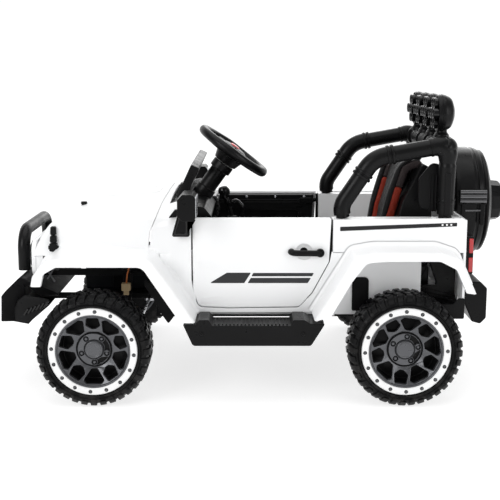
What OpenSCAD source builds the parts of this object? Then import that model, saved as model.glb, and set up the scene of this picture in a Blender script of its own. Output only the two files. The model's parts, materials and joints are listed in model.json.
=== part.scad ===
// Ride-on toy off-road car: white moulded body, black trim, four big wheels.
// The front faces -X, the left side faces -Y, the ground is at Z = 0.

/* [Wheels] */
// X place of the front axle
front_axle_x = -342; // [-344:1:-338]
// X place of the rear axle
rear_axle_x = 292; // [288:1:296]
// Radius of the tyre
tyre_r = 116; // [112:1:118]
// Distance from the middle of the car to the outside of a tyre
track_half = 340; // [338:1:344]
// Width of a tyre
tyre_w = 90; // [84:1:92]
// Radius of an axle rod
axle_r = 6; // [5:0.5:7]

/* [Body] */
// Distance from the middle of the car to the skin of a door
side_half = 250; // [248:1:252]
// Distance from the middle of the car to the edge of a fender
fender_half = 335; // [330:1:338]
// Thickness of a moulded wall
wall = 5; // [4:0.5:6]
// Height of the belt line at the doors
belt_z = 376; // [374:1:378]
// Underside of the cabin floor
floor_z = 170; // [168:1:172]
// X place of the cabin's rear wall
tub_rear_x = 424; // [422:1:426]

/* [Doors] */
// X place of a door's front edge
door_front_x = -143; // [-144:1:-142]
// X place of a door's rear edge at the belt line
door_rear_x = 144; // [142:1:145]

/* [Steering] */
// Lean of the steering column from the vertical
column_lean = 36; // [34:1:38]
// Radius of the steering wheel's rim, to the middle of its tube
wheel_rim_r = 81; // [74:1:84]
// Distance from the middle of the car to a kingpin
kingpin_y = 225; // [224:1:226]
// Length of a steering arm
steering_arm = 60; // [56:1:62]

/* [Roll bars] */
// Distance from the middle of the car to a roll bar
roll_half = 216; // [212:1:218]
// Radius of a roll bar's tube
roll_r = 16.5; // [15:0.5:17]
// Height of the cross bar
cross_z = 524; // [522:1:526]

/* [Spare wheel cover] */
// Radius of the spare wheel cover
spare_r = 122; // [118:1:124]
// Height of the spare wheel cover's middle
spare_z = 382; // [380:1:386]

/* [Hidden] */
$fn = 48;
smooth = 64;
hull_smooth = 32;
gap = 0.5;
running_gap = 0.05;
axle_z = tyre_r;
tyre_in = track_half - tyre_w;
rim_r = 76;
ring_r = 91;
hub_r = 19;
windows = 10;
rear_turn = 28;
face_y = 315;
rod_end_y = 308;
lower_collar_r = 23;
skin = side_half - wall;
tub_half = 236;
white = "#f2f3f4";
black = "#1c1c1e";
grey = "#3b3c3f";
steel = "#b9bcc0";
wheel_centre = [-62, 0, 496];

// ---- helpers -------------------------------------------------------------

function unit(v) = v / norm(v);

// An outline or path point is its coordinates followed by the radius of its corner
function place(p) = [for (i = [0 : len(p) - 2]) p[i]];
function bend_r(p) = p[len(p) - 1];

// The points that round the corner at b, between its neighbours a and c, to radius r
function corner(a, b, c, r, steps = 4) =
    let (u = unit(a - b), v = unit(c - b), half = acos(u * v) / 2, turn = 180 - 2 * half)
    let (middle = b + unit(u + v) * r / sin(half))
    let (from = b + u * r / tan(half) - middle, to = b + v * r / tan(half) - middle)
    [for (t = [0 : steps]) middle + (from * sin(turn - turn * t / steps) + to * sin(turn * t / steps)) / sin(turn)];

function turned(points, i, j, k, steps) = bend_r(points[j]) == 0 ? [place(points[j])]
    : corner(place(points[i]), place(points[j]), place(points[k]), bend_r(points[j]), steps);

// A closed outline, and an open path, with their corners rounded
function rounded(points) =
    let (n = len(points)) [for (i = [0 : n - 1]) each turned(points, (i + n - 1) % n, i, (i + 1) % n, 4)];
function bent(points) = let (n = len(points)) [
    place(points[0]), for (i = [1 : n - 2]) each turned(points, i - 1, i, i + 1, 6), place(points[n - 1])
];

// A side outline in X and Z, given thickness from y0 to y1
module side_plate(outline, y0, y1)
    translate([0, y1, 0]) rotate([90, 0, 0]) linear_extrude(y1 - y0) polygon(rounded(outline));

// The children, and the children mirrored to the right-hand side
module both_sides() {
    children();
    mirror([0, 1, 0]) children();
}

// The children on the left, or mirrored to the right
module on_side(left) mirror([0, left ? 0 : 1, 0]) children();

// A box from its low corner to its high corner
module box(low, high) translate(low) cube(high - low);

// A round rod between two points
module rod(p, q, r) {
    d = q - p;
    translate(p) rotate([0, acos(d.z / norm(d)), atan2(d.y, d.x)]) cylinder(h = norm(d), r = r);
}

// A round tube swept along a path that stays square to the vector "across"
module swept(path, r, across, sides = 16) {
    n = len(path);
    rings = [
        for (i = [0 : n - 1])
            let (along = unit(path[min(i + 1, n - 1)] - path[max(i - 1, 0)]), out = unit(cross(along, across)))
            for (a = [0 : 360 / sides : 359]) path[i] + r * (cos(a) * out + sin(a) * cross(out, along))
    ];
    polyhedron(rings, concat(
        [[for (j = [0 : sides - 1]) j]],
        [for (i = [0 : n - 2], j = [0 : sides - 1])
            let (k = (j + 1) % sides) [i * sides + j, (i + 1) * sides + j, (i + 1) * sides + k, i * sides + k]],
        [[for (j = [sides - 1 : -1 : 0]) (n - 1) * sides + j]]
    ), convexity = 6);
}

// Turns a shape made around Z so that its Z points out of the left side at an axle
module at_wheel(x, left) on_side(left) translate([x, 0, axle_z]) rotate([90, 0, 0]) children();

// ---- running gear --------------------------------------------------------

rail_y = 120;
rail_w = 12;

module chassis() color(black) {
    box([-225, -200, floor_z - 14], [410, 200, floor_z - gap]);
    both_sides() {
        box([-478, -rail_y - rail_w, 180], [-225, -rail_y, 192]);
        box([-480, -rail_y - rail_w, 232], [-217, -rail_y, 242]);
        box([-225, -rail_y - rail_w, 140], [-213, -rail_y, 242]);
    }
    box([-225, -200, floor_z - 14], [-213, 200, 196]);
    box([-478, -rail_y, 180], [-466, rail_y, 192]);
    box([-400, -rail_y, 184], [-235, rail_y, 192]);
}

module front_axle() color(black) {
    box([front_axle_x - 8, -209, axle_z - 8], [front_axle_x + 8, 209, axle_z + 8]);
    both_sides() {
        box([front_axle_x - 14, -209, axle_z - 32], [front_axle_x + 14, -203, axle_z + 32]);
        for (z = [axle_z - 32, axle_z + 26])
            box([front_axle_x - 14, -243, z], [front_axle_x + 14, -203, z + 6]);
        translate([front_axle_x, -kingpin_y, axle_z - 32]) cylinder(h = 64, r = axle_r);
        box([front_axle_x - 10, -rail_y - rail_w, axle_z], [front_axle_x + 10, -rail_y, 180 - 0.2]);
    }
}

module knuckle(left) on_side(left) color(grey)
    difference() {
        union() {
            translate([front_axle_x, -kingpin_y, axle_z - 24]) cylinder(h = 48, r = 13);
            translate([front_axle_x, -kingpin_y, axle_z]) rotate([90, 0, 0]) cylinder(h = 25, r = 11);
            translate([front_axle_x, -kingpin_y - 24, axle_z]) rotate([90, 0, 0])
                cylinder(h = rod_end_y - kingpin_y - 24, r = axle_r - running_gap);
            box([front_axle_x, -kingpin_y - 6, 104], [front_axle_x + steering_arm + 6, -kingpin_y + 6, 112]);
            translate([front_axle_x + steering_arm, -kingpin_y, 91]) cylinder(h = 14, r = 3);
        }
        translate([front_axle_x, -kingpin_y, 0]) cylinder(h = 200, r = axle_r + running_gap);
    }

module tie_rod() color(steel) {
    rod([front_axle_x + steering_arm, -kingpin_y + 11, 98], [front_axle_x + steering_arm, kingpin_y - 11, 98], 4);
    both_sides() translate([front_axle_x + steering_arm, -kingpin_y, 94]) difference() {
        cylinder(h = 8, r = 12);
        translate([0, 0, -1]) cylinder(h = 10, r = 7);
    }
}

module rear_axle() color(steel) {
    translate([rear_axle_x, 0, axle_z]) rotate([90, 0, 0])
        cylinder(h = 2 * rod_end_y, r = axle_r - running_gap, center = true);
    both_sides() side_plate([
        [rear_axle_x - 14, axle_z - 14, 6], [rear_axle_x + 14, axle_z - 14, 6],
        [rear_axle_x + 34, floor_z - 14.2, 0], [rear_axle_x - 34, floor_z - 14.2, 0]
    ], -130, -122);
}

module drive_motors() color(grey) both_sides() difference() {
    union() {
        side_plate([
            [rear_axle_x - 60, axle_z - 8, 8], [rear_axle_x - 20, axle_z - 30, 14],
            [rear_axle_x + 26, axle_z - 30, 16], [rear_axle_x + 32, axle_z + 20, 12],
            [rear_axle_x - 10, axle_z + 34, 8], [rear_axle_x - 60, axle_z + 34, 8]
        ], -232, -180);
        translate([rear_axle_x - 36, -181, axle_z + 12]) rotate([-90, 0, 0]) cylinder(h = 40, r = 17);
    }
    translate([rear_axle_x, 0, axle_z]) rotate([90, 0, 0]) cylinder(h = 300, r = axle_r + 1);
}

module battery() color("#2b2d31")
    box([-392, -90, 192 + 0.2], [-246, 90, 270]);

wire_path = [
    [-476, -112, 250, 0], [-452, -112, 264, 12], [-428, -112, 252, 12], [-408, -112, 258, 10], [-394, -85, 258, 0]
];

module wiring() color("#8a1f1a") both_sides() swept(bent(wire_path), 1.6, [0.2, 0, 1], 8);

// ---- wheels --------------------------------------------------------------

module tyre(x, left) color(black) at_wheel(x, left)
    rotate_extrude($fn = smooth) polygon([
        [rim_r, tyre_in + 3], [90, tyre_in], [102, tyre_in], [110, tyre_in + 4], [tyre_r, tyre_in + 16],
        [tyre_r, track_half - 14], [110, track_half - 3], [102, track_half], [94, track_half - 2],
        [ring_r, track_half - 10], [rim_r, track_half - 10]
    ]);

module ring(x, left) color(white) at_wheel(x, left)
    rotate_extrude($fn = smooth) polygon([
        [rim_r, track_half - 9.8], [ring_r, track_half - 9.8], [ring_r - 1, track_half - 5],
        [ring_r - 4, track_half - 3], [rim_r + 2, track_half - 3], [rim_r, track_half - 5]
    ]);

module rim(x, left) color(grey) at_wheel(x, left) difference() {
    union() {
        rotate_extrude($fn = smooth) polygon([
            [66, tyre_in + 4], [rim_r - 0.2, tyre_in + 4], [rim_r - 0.2, track_half - 5], [72, track_half - 6],
            [70, face_y + 11], [38, face_y], [0, face_y], [0, face_y - 12], [38, face_y - 12], [66, face_y - 1]
        ]);
        translate([0, 0, tyre_in + 2]) cylinder(h = face_y - tyre_in - 2, r = hub_r);
        translate([0, 0, face_y - 1]) cylinder(h = 6, r = hub_r);
    }
    for (i = [0 : windows - 1]) rotate([0, 0, (x > 0 ? 90 + rear_turn : 90) + 360 / windows * i])
        translate([0, 0, face_y - 20]) linear_extrude(40)
            if (i % 2 == 0) polygon([[39, -4], [47, -13], [67, -13], [67, 13], [47, 13], [39, 4]]);
            else polygon([[42, -6], [66, -19], [66, 19], [42, 6]]);
    translate([0, 0, tyre_in]) cylinder(h = rod_end_y + 1 - tyre_in, r = axle_r);
}

// ---- body ----------------------------------------------------------------

// Thin rounded slice of the bonnet: half width at the top and foot, top height and shoulder radius
module bonnet_slice(x, half_w, top, foot, shoulder = 34)
    translate([x, 0, 0]) rotate([90, 0, 90]) linear_extrude(0.5) {
        for (s = [-1, 1]) translate([s * (half_w - shoulder), top - shoulder]) circle(r = shoulder, $fn = hull_smooth);
        translate([-half_w - 2, foot]) square([2 * half_w + 4, 1]);
    }

// Solid outer form of the bonnet, moved inwards by skin_t
module bonnet_form(skin_t) hull() {
    bonnet_slice(-206, 222 - skin_t, 409 - skin_t, 286);
    bonnet_slice(-325, 206 - skin_t, 399 - skin_t, 286);
    bonnet_slice(-401 + skin_t / 4, 194 - skin_t, 387 - skin_t, 286);
    bonnet_slice(-452 + skin_t, 186 - skin_t, 355 - skin_t, 286);
    bonnet_slice(-472 + skin_t, 183 - skin_t, 324 - skin_t, 286, 16);
    bonnet_slice(-484 + skin_t, 182 - skin_t, 300, 286, 7);
}

module hood() color(white) difference() {
    bonnet_form(0);
    difference() {
        translate([0.6, 0, -2]) bonnet_form(wall);
        box([-500, -110, 0], [-472, 110, 400]);
    }
}

module cowl_form(skin_t) hull() {
    bonnet_slice(-205, 223 - skin_t, 409 - skin_t, floor_z);
    bonnet_slice(-146.5, 238 - skin_t, 416 - skin_t, floor_z);
}

module cowl() color(white) difference() {
    union() {
        difference() {
            cowl_form(0);
            translate([0, 0, -1]) cowl_form(wall);
            box([-300, -300, 0], [-100, 300, 300]);
        }
        both_sides() side_plate([
            [-222, 306, 6], [-222, 268, 8], [-150, 182, 4], [-146, 182, 0], [-146, 386, 0], [-205, 380, 6]
        ], -side_half, -skin);
        both_sides() box([-205, -skin, 300], [-200, -218, 380]);
        both_sides() box([-205, -skin - 1, 374], [-146, -222, 380]);
    }
    box([-190, -207, 300], [-140, 207, 500]);
}

module cabin_tub() color(white) {
    // floor and sills
    box([-212, -tub_half, floor_z], [tub_rear_x, tub_half, floor_z + wall]);
    both_sides() box([-146, -tub_half, floor_z], [150, -tub_half + wall, floor_z + 18]);
    // firewall, and the sides ahead of the doors
    box([-212, -215, floor_z], [-207, 215, 330]);
    both_sides() box([-212, -tub_half, floor_z], [-148, -tub_half + wall, 300]);
    // side walls behind the doors, with the quarter skins standing out above the arches
    both_sides() {
        box([150, -tub_half, floor_z], [334, -tub_half + wall, 308]);
        box([tub_rear_x - wall, -tub_half, floor_z], [tub_rear_x, -tub_half + wall, 308]);
        box([150, -side_half, 304], [tub_rear_x, -tub_half + wall, 309]);
        side_plate([
            [148, 304, 0], [tub_rear_x, 304, 0], [tub_rear_x - 4, belt_z, 8], [148, belt_z - 3, 0]
        ], -side_half, -skin);
        box([148, -side_half + 1, belt_z - 9], [tub_rear_x - 12, -198, belt_z - 4]);
        box([148, -203, 309 - wall], [tub_rear_x, -198, belt_z - 4]);
        box([148, -side_half + 1, floor_z], [153, -198, belt_z - 4]);
    }
    // rear wall
    box([tub_rear_x - wall, -side_half + 1, 200], [tub_rear_x, side_half - 1, belt_z - 4]);
    box([tub_rear_x - wall, -200, floor_z], [tub_rear_x, 200, 210]);
}

module front_fascia() color(white) difference() {
    union() {
        box([-492, -182, 240], [-486, 182, 318]);
        both_sides() box([-486, -182, 246], [-470, -176, 285]);
    }
    box([-500, -88, 246], [-480, 88, 312]);
    both_sides() translate([-500, -134, 280]) rotate([0, 90, 0]) cylinder(h = 30, r = 33);
}

module grille() color(black) {
    bars = 9;
    box([-490, -87.5, 246.5], [-487, 87.5, 311.5]);
    for (i = [0 : bars - 1]) box([-496, -87.5, 250 + i * 7], [-490, 87.5, 253 + i * 7]);
    both_sides() box([-496, -87.5, 246.5], [-490, -82, 311.5]);
}

module headlights() color("#dfe6ea") both_sides()
    translate([-486, -134, 280]) rotate([0, -90, 0]) rotate_extrude()
        polygon([[0, 0], [32.5, 0], [32.5, 8], [28, 11], [16, 13], [0, 14]]);

arch_front = [
    [-443, 250, 0], [-437, 275, 10], [-412, 289, 14], [-240, 289, 22], [-205, 236, 10], [-165, 176, 0]
];
flare_front = [
    [-134, 176, 0], [-176, 240, 16], [-222, 306, 26], [-434, 306, 26], [-462, 270, 16], [-466, 250, 0]
];

module front_fenders() color(white) both_sides() difference() {
    union() {
        side_plate(concat(arch_front, flare_front), -fender_half, -side_half - gap);
        difference() {
            side_plate([[-460, 289, 0], [-226, 289, 0], [-226, 305, 0], [-446, 305, 8]], -side_half - gap, -150);
            box([-600, -175, 0], [0, 0, 400]);
        }
        side_plate([[-466, 252, 0], [-443, 252, 0], [-436, 289, 0], [-446, 304, 0], [-462, 270, 4]], -side_half - gap, -190);
    }
    bonnet_clear();
}

// Room for the bonnet, with the gap round it
module bonnet_clear() hull() {
    bonnet_slice(-200, 224, 420, 284);
    bonnet_slice(-325, 208, 410, 284);
    bonnet_slice(-452, 188, 400, 284);
    bonnet_slice(-487, 184, 400, 284);
}

arch_rear = [
    [139, 187, 0], [180, 259, 12], [208, 297, 20], [245, 301, 0], [356, 301, 22], [389, 284, 14], [410, 237, 0]
];
flare_rear = [
    [432, 235, 0], [408, 296, 12], [392, 318, 14], [358, 320, 0], [231, 320, 24], [186, 312, 16], [105, 180, 0],
    [135, 180, 0]
];

module rear_fenders() color(white) both_sides()
    side_plate(concat(arch_rear, flare_rear), -fender_half, -side_half - gap);

module side_steps() color(black) both_sides() {
    side_plate([
        [-160, 171, 2], [-140, 126, 8], [100, 126, 8], [128, 172, 2], [98, 173, 2], [86, 180, 3],
        [64, 180, 3], [58, 168, 3], [-100, 168, 3], [-108, 180, 3], [-127, 180, 3], [-135, 171, 2]
    ], -328, -side_half - 3);
    side_plate([[-140, 155, 0], [-130, 130, 8], [90, 130, 8], [105, 155, 0]], -side_half - 3.5, -201);
}

module front_bumper() color(black) difference() {
    side_plate([
        [-513, 244, 4], [-539, 219, 6], [-549, 207, 5], [-551, 152, 3], [-494, 146, 3], [-438, 192, 3],
        [-440, 200, 2]
    ], -230, 230);
    // back hollow
    side_plate([[-508, 230, 0], [-538, 205, 4], [-540, 160, 4], [-490, 155, 0], [-455, 182, 0]], -205, 205);
    box([-500, -210, 176], [-425, 210, 196]);
    both_sides() translate([-551, -230, 140]) rotate([0, 0, 28]) translate([-60, -60, 0]) cube([200, 60, 120]);
}

bull_path = [[-519, -130, 245, 0], [-519, -130, 330, 42], [-519, 130, 330, 42], [-519, 130, 245, 0]];

module bull_bar() color(black) swept(bent(bull_path), 13.5, [1, 0, 0]);

module rear_bumper() color(black)
    side_plate([
        [428, 239, 3], [462, 238, 8], [476, 224, 6], [476, 160, 6], [464, 147, 6], [446, 152, 4], [428, 193, 3]
    ], -230, 230);

module dashboard() color(black) difference() {
    side_plate([
        [-199, 300, 3], [-199, 396, 6], [-166, 401, 8], [-120, 392, 12], [-104, 372, 8], [-122, 320, 8], [-150, 300, 4]
    ], -203, 203);
    column_shaft(lower_collar_r + gap);
}

// ---- steering ------------------------------------------------------------

// The children, turned so that their Z runs up the steering column to the wheel's middle
module on_column() translate(wheel_centre) rotate([0, column_lean, 0]) children();

module column_shaft(r) on_column() translate([0, 0, -172]) cylinder(h = 140, r = r);

module steering_column() color(black) on_column() {
    translate([0, 0, -172]) cylinder(h = 70, r = lower_collar_r);
    translate([0, 0, -102]) cylinder(h = 66, r = 20);
    translate([0, 0, -54]) cylinder(h = 18, r = 25);
}

module steering_wheel() color(black) on_column() {
    rotate_extrude($fn = smooth) translate([wheel_rim_r, 0]) circle(r = 11);
    translate([0, 0, -34]) cylinder(h = 18, r1 = 27, r2 = 34);
    translate([0, 0, -16]) cylinder(h = 26, r = 34);
    for (a = [0, 120, 240]) rotate([0, 0, a])
        translate([30, -13, -10]) cube([wheel_rim_r - 34, 26, 14]);
}

module windshield_frame() color(black)
    translate([-168, 0, 409]) rotate([0, 25, 0]) difference() {
        translate([-12, -205, 0]) cube([19, 410, 76]);
        translate([-14, -184, 14]) cube([26, 368, 44]);
    }

module pedal() color(black) {
    translate([-150, 60, floor_z + wall]) rotate([0, -34, 0]) translate([-4, -24, 6]) cube([8, 48, 84]);
    box([-158, 50, floor_z + wall], [-132, 70, floor_z + wall + 14]);
}

module shift_lever() color(black) {
    side_plate([
        [-96, floor_z + wall + 0.2, 0], [-96, 270, 14], [-66, 312, 14], [-36, 300, 14], [-20, floor_z + wall + 0.2, 0]
    ], 106, 150);
    rod([-60, 128, 300], [-84, 128, 382], 5);
    translate([-85, 128, 386]) sphere(r = 13);
}

module mirrors() color(black) both_sides() {
    side_plate([
        [-168, 392, 0], [-158, 382, 0], [-136, 382, 0], [-132, 388, 0], [-132, 428, 0], [-138, 435, 0],
        [-158, 435, 0], [-168, 424, 0]
    ], -fender_half, -258);
    side_plate([[-185, 340, 4], [-148, 340, 4], [-148, 392, 0], [-160, 400, 0], [-172, 385, 4]], -266, -side_half - gap);
}

// ---- doors ---------------------------------------------------------------

door_outline = [
    [-139.5, belt_z, 0], [-139.5, 218, 0], [-131, 190, 14], [-66, 187, 0],
    [78, 189, 16], [105, 219, 14], [140, 285, 16], [door_rear_x, belt_z, 3]
];

hinge_r = 3.5;
hinge_x = door_front_x + hinge_r;

module door(left) on_side(left) color(white) {
    side_plate(door_outline, -side_half, -side_half + 2 * hinge_r);
    box([hinge_x + 3, -side_half + 6, belt_z - 6], [door_rear_x - 1, -228, belt_z - 1]);
    translate([hinge_x, -side_half + hinge_r, 205]) cylinder(h = belt_z - 208, r = hinge_r);
}

module door_liner(left) on_side(left) color(black) difference() {
    side_plate([
        [-134, belt_z - 7, 4], [-132, 250, 0], [-126, 196, 14], [60, 196, 20], [96, 226, 16], [130, 290, 16],
        [136, belt_z - 7, 4]
    ], -side_half + 7.5, -206);
    // pocket on the cabin side
    side_plate([[-112, 330, 8], [-108, 216, 14], [50, 216, 20], [84, 240, 16], [100, 330, 8]], -224, -200);
}

module door_handle(left) on_side(left) color(black) {
    side_plate([[57, 299, 5], [57, 311, 5], [130, 311, 5], [130, 299, 5]], -side_half - 9, -side_half - 3);
    for (x = [62, 115]) box([x, -side_half - 5, 301], [x + 10, -side_half - 0.1, 309]);
}

// ---- seat ----------------------------------------------------------------

module seat_shell() color(black) {
    box([104, -172, floor_z + wall + 0.2], [362, 172, 262]);
    side_plate([
        [268, 262, 0], [306, 400, 0], [346, 480, 8], [364, 470, 8], [368, 400, 0], [368, 262, 0]
    ], -150, 150);
}

module seat_cushion() color("#2a2627") side_plate([
    [112, 262.3, 4], [106, 290, 12], [130, 308, 20], [258, 300, 12], [262, 262.3, 4]
], -150, 150);

module seat_back() color("#a8281f") side_plate([
    [260, 303, 10], [272, 372, 30], [300, 448, 30], [326, 488, 14], [344, 486, 6], [305, 401, 0], [275, 301, 0]
], -120, 120);

// ---- roll bars, lamps and spare wheel ------------------------------------

hoop_path = [
    [171, -roll_half, belt_z + 0.4, 0], [165, -roll_half, 400, 40], [233, -roll_half, 501, 60],
    [345, -roll_half, 521, 60], [386, -roll_half, cross_z + 2, 20], [384, -roll_half, belt_z - 3.4, 0]
];

module roll_hoops() color(black) both_sides() swept(bent(hoop_path), roll_r, [0, 1, 0]);

lamp_y = [-146, -48.5, 48.5, 146];
cross_r = 17;
cross_x = 385;

module lamp_bar() color(black) {
    cross_end = roll_half - roll_r - gap;
    rod([cross_x, -cross_end, cross_z - 6], [cross_x, cross_end, cross_z - 6], cross_r);
}

module roof_lamps() color(black) for (y = lamp_y) {
    translate([384, y, 587]) rotate([0, 90, 0]) rotate_extrude($fn = smooth)
        polygon([[0, -6], [36, -6], [39, 0], [37, 12], [30, 20], [18, 25], [0, 27]]);
    translate([cross_x + 2, y, cross_z - 6 + cross_r + 0.3]) cylinder(h = 10, r = 15);
    translate([cross_x + 2, y, cross_z - 6 + cross_r + 9]) cylinder(h = 24, r = 11);
}

module spare_cover() color(black) {
    boss_r = 46;
    translate([0, 0, spare_z]) rotate([0, 90, 0]) rotate_extrude($fn = smooth) difference() {
        polygon([
            [0, tub_rear_x + 1], [spare_r - 3, tub_rear_x + 1], [spare_r, tub_rear_x + 5], [spare_r, 478],
            [spare_r - 18, 496], [spare_r - 46, 515], [boss_r, 522], [boss_r - 4, 548], [boss_r - 10, 552], [0, 552]
        ]);
        polygon([[0, tub_rear_x + 9], [spare_r - 8, tub_rear_x + 9], [spare_r - 8, 474], [spare_r - 24, 490], [0, 505]]);
    }
}

module tail_lights() color("#b3161b") both_sides() {
    box([tub_rear_x + 0.2, -238, 256], [438, -186, 336]);
    for (z = [260, 297]) box([437, -232, z], [443, -192, z + 31]);
}

chassis();
front_axle();
rear_axle();
drive_motors();
battery();
wiring();
cabin_tub();
cowl();
hood();
front_fascia();
grille();
headlights();
front_fenders();
rear_fenders();
side_steps();
front_bumper();
bull_bar();
rear_bumper();
dashboard();
steering_column();
windshield_frame();
pedal();
shift_lever();
mirrors();
seat_shell();
seat_cushion();
seat_back();
roll_hoops();
lamp_bar();
roof_lamps();
spare_cover();
tail_lights();
steering_wheel();
tie_rod();
knuckle(true);  // knuckle_left
knuckle(false);  // knuckle_right
door(true);  // door_left
door_liner(true);  // door_liner_left
door_handle(true);  // door_handle_left
door(false);  // door_right
door_liner(false);  // door_liner_right
door_handle(false);  // door_handle_right
tyre(front_axle_x, true);  // tyre_front_left
rim(front_axle_x, true);  // rim_front_left
ring(front_axle_x, true);  // ring_front_left
tyre(front_axle_x, false);  // tyre_front_right
rim(front_axle_x, false);  // rim_front_right
ring(front_axle_x, false);  // ring_front_right
tyre(rear_axle_x, true);  // tyre_rear_left
rim(rear_axle_x, true);  // rim_rear_left
ring(rear_axle_x, true);  // ring_rear_left
tyre(rear_axle_x, false);  // tyre_rear_right
rim(rear_axle_x, false);  // rim_rear_right
ring(rear_axle_x, false);  // ring_rear_right
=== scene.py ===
"""The looks of a ride-on toy off-road car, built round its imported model.

The car faces -X, its left side faces -Y and it stands on Z = 0. Shapes are worked out in
millimetres, and become metres when a form turns into an object.
"""

from __future__ import annotations

import json
import logging
import math
from collections.abc import Callable, Sequence
from dataclasses import dataclass, field, replace
from enum import Enum
from functools import cache

import bmesh
import bpy
from mathutils import Matrix, Vector

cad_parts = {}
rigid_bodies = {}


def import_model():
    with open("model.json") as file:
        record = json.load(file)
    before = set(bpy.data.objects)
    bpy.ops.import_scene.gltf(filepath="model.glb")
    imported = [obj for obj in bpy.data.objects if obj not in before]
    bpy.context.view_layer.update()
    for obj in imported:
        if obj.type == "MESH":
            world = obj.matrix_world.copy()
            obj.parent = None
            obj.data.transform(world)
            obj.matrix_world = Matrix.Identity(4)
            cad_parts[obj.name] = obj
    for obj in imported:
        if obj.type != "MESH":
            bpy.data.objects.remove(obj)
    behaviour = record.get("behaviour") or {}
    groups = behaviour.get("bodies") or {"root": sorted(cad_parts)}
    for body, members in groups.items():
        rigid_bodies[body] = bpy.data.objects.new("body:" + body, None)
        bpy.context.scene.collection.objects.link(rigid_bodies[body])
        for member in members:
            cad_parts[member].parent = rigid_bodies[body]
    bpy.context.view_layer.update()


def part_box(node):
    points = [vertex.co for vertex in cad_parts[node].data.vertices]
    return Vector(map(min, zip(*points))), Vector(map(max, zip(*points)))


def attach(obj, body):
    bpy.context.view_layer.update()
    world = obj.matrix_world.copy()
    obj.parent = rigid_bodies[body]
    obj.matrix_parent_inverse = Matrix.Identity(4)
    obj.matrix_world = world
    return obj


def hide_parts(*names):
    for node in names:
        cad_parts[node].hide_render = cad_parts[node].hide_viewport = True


log = logging.getLogger("car")
MM = 0.001
LEFT, RIGHT = -1, 1
SIDES = {"left": LEFT, "right": RIGHT}
UP = Vector((0, 0, 1))
ACROSS = Vector((0, 1, 0))
FORWARD = Vector((-1, 0, 0))
Point = Sequence[float]
BEVEL_ANGLE = 30.0  # degrees


# ---- shader writing ----------------------------------------------------------------------


class Sock:
    """A value socket of a shader tree that arithmetic can be written on."""

    def __init__(self, tree: "Shading", socket: bpy.types.NodeSocket) -> None:
        """Wraps a socket.

        Args:
            tree: the shader tree that the socket belongs to.
            socket: the output socket.
        """
        self.tree = tree
        self.socket = socket

    def _math(self, operation: str, first: object, second: object) -> "Sock":
        """Adds one Math node and returns its result."""
        return self.tree.node("ShaderNodeMath", {"operation": operation}, {0: first, 1: second})

    def __add__(self, other: object) -> "Sock":
        """self + other."""
        return self._math("ADD", self, other)

    __radd__ = __add__

    def __mul__(self, other: object) -> "Sock":
        """self * other."""
        return self._math("MULTIPLY", self, other)

    __rmul__ = __mul__

    def __sub__(self, other: object) -> "Sock":
        """self - other."""
        return self._math("SUBTRACT", self, other)

    def __rsub__(self, other: object) -> "Sock":
        """other - self."""
        return self._math("SUBTRACT", other, self)

    def clamped(self, low: float, high: float, to_low: float = 0.0, to_high: float = 1.0) -> "Sock":
        """Maps low to high smoothly onto to_low to to_high, and stays inside it.

        Args:
            low: the value that gives to_low.
            high: the value that gives to_high.
            to_low: the lowest result.
            to_high: the highest result.

        Returns:
            The mapped value.
        """
        ends = {"Value": self, "From Min": low, "From Max": high, "To Min": to_low, "To Max": to_high}
        return self.tree.node("ShaderNodeMapRange", {"interpolation_type": "SMOOTHSTEP"}, ends)


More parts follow.
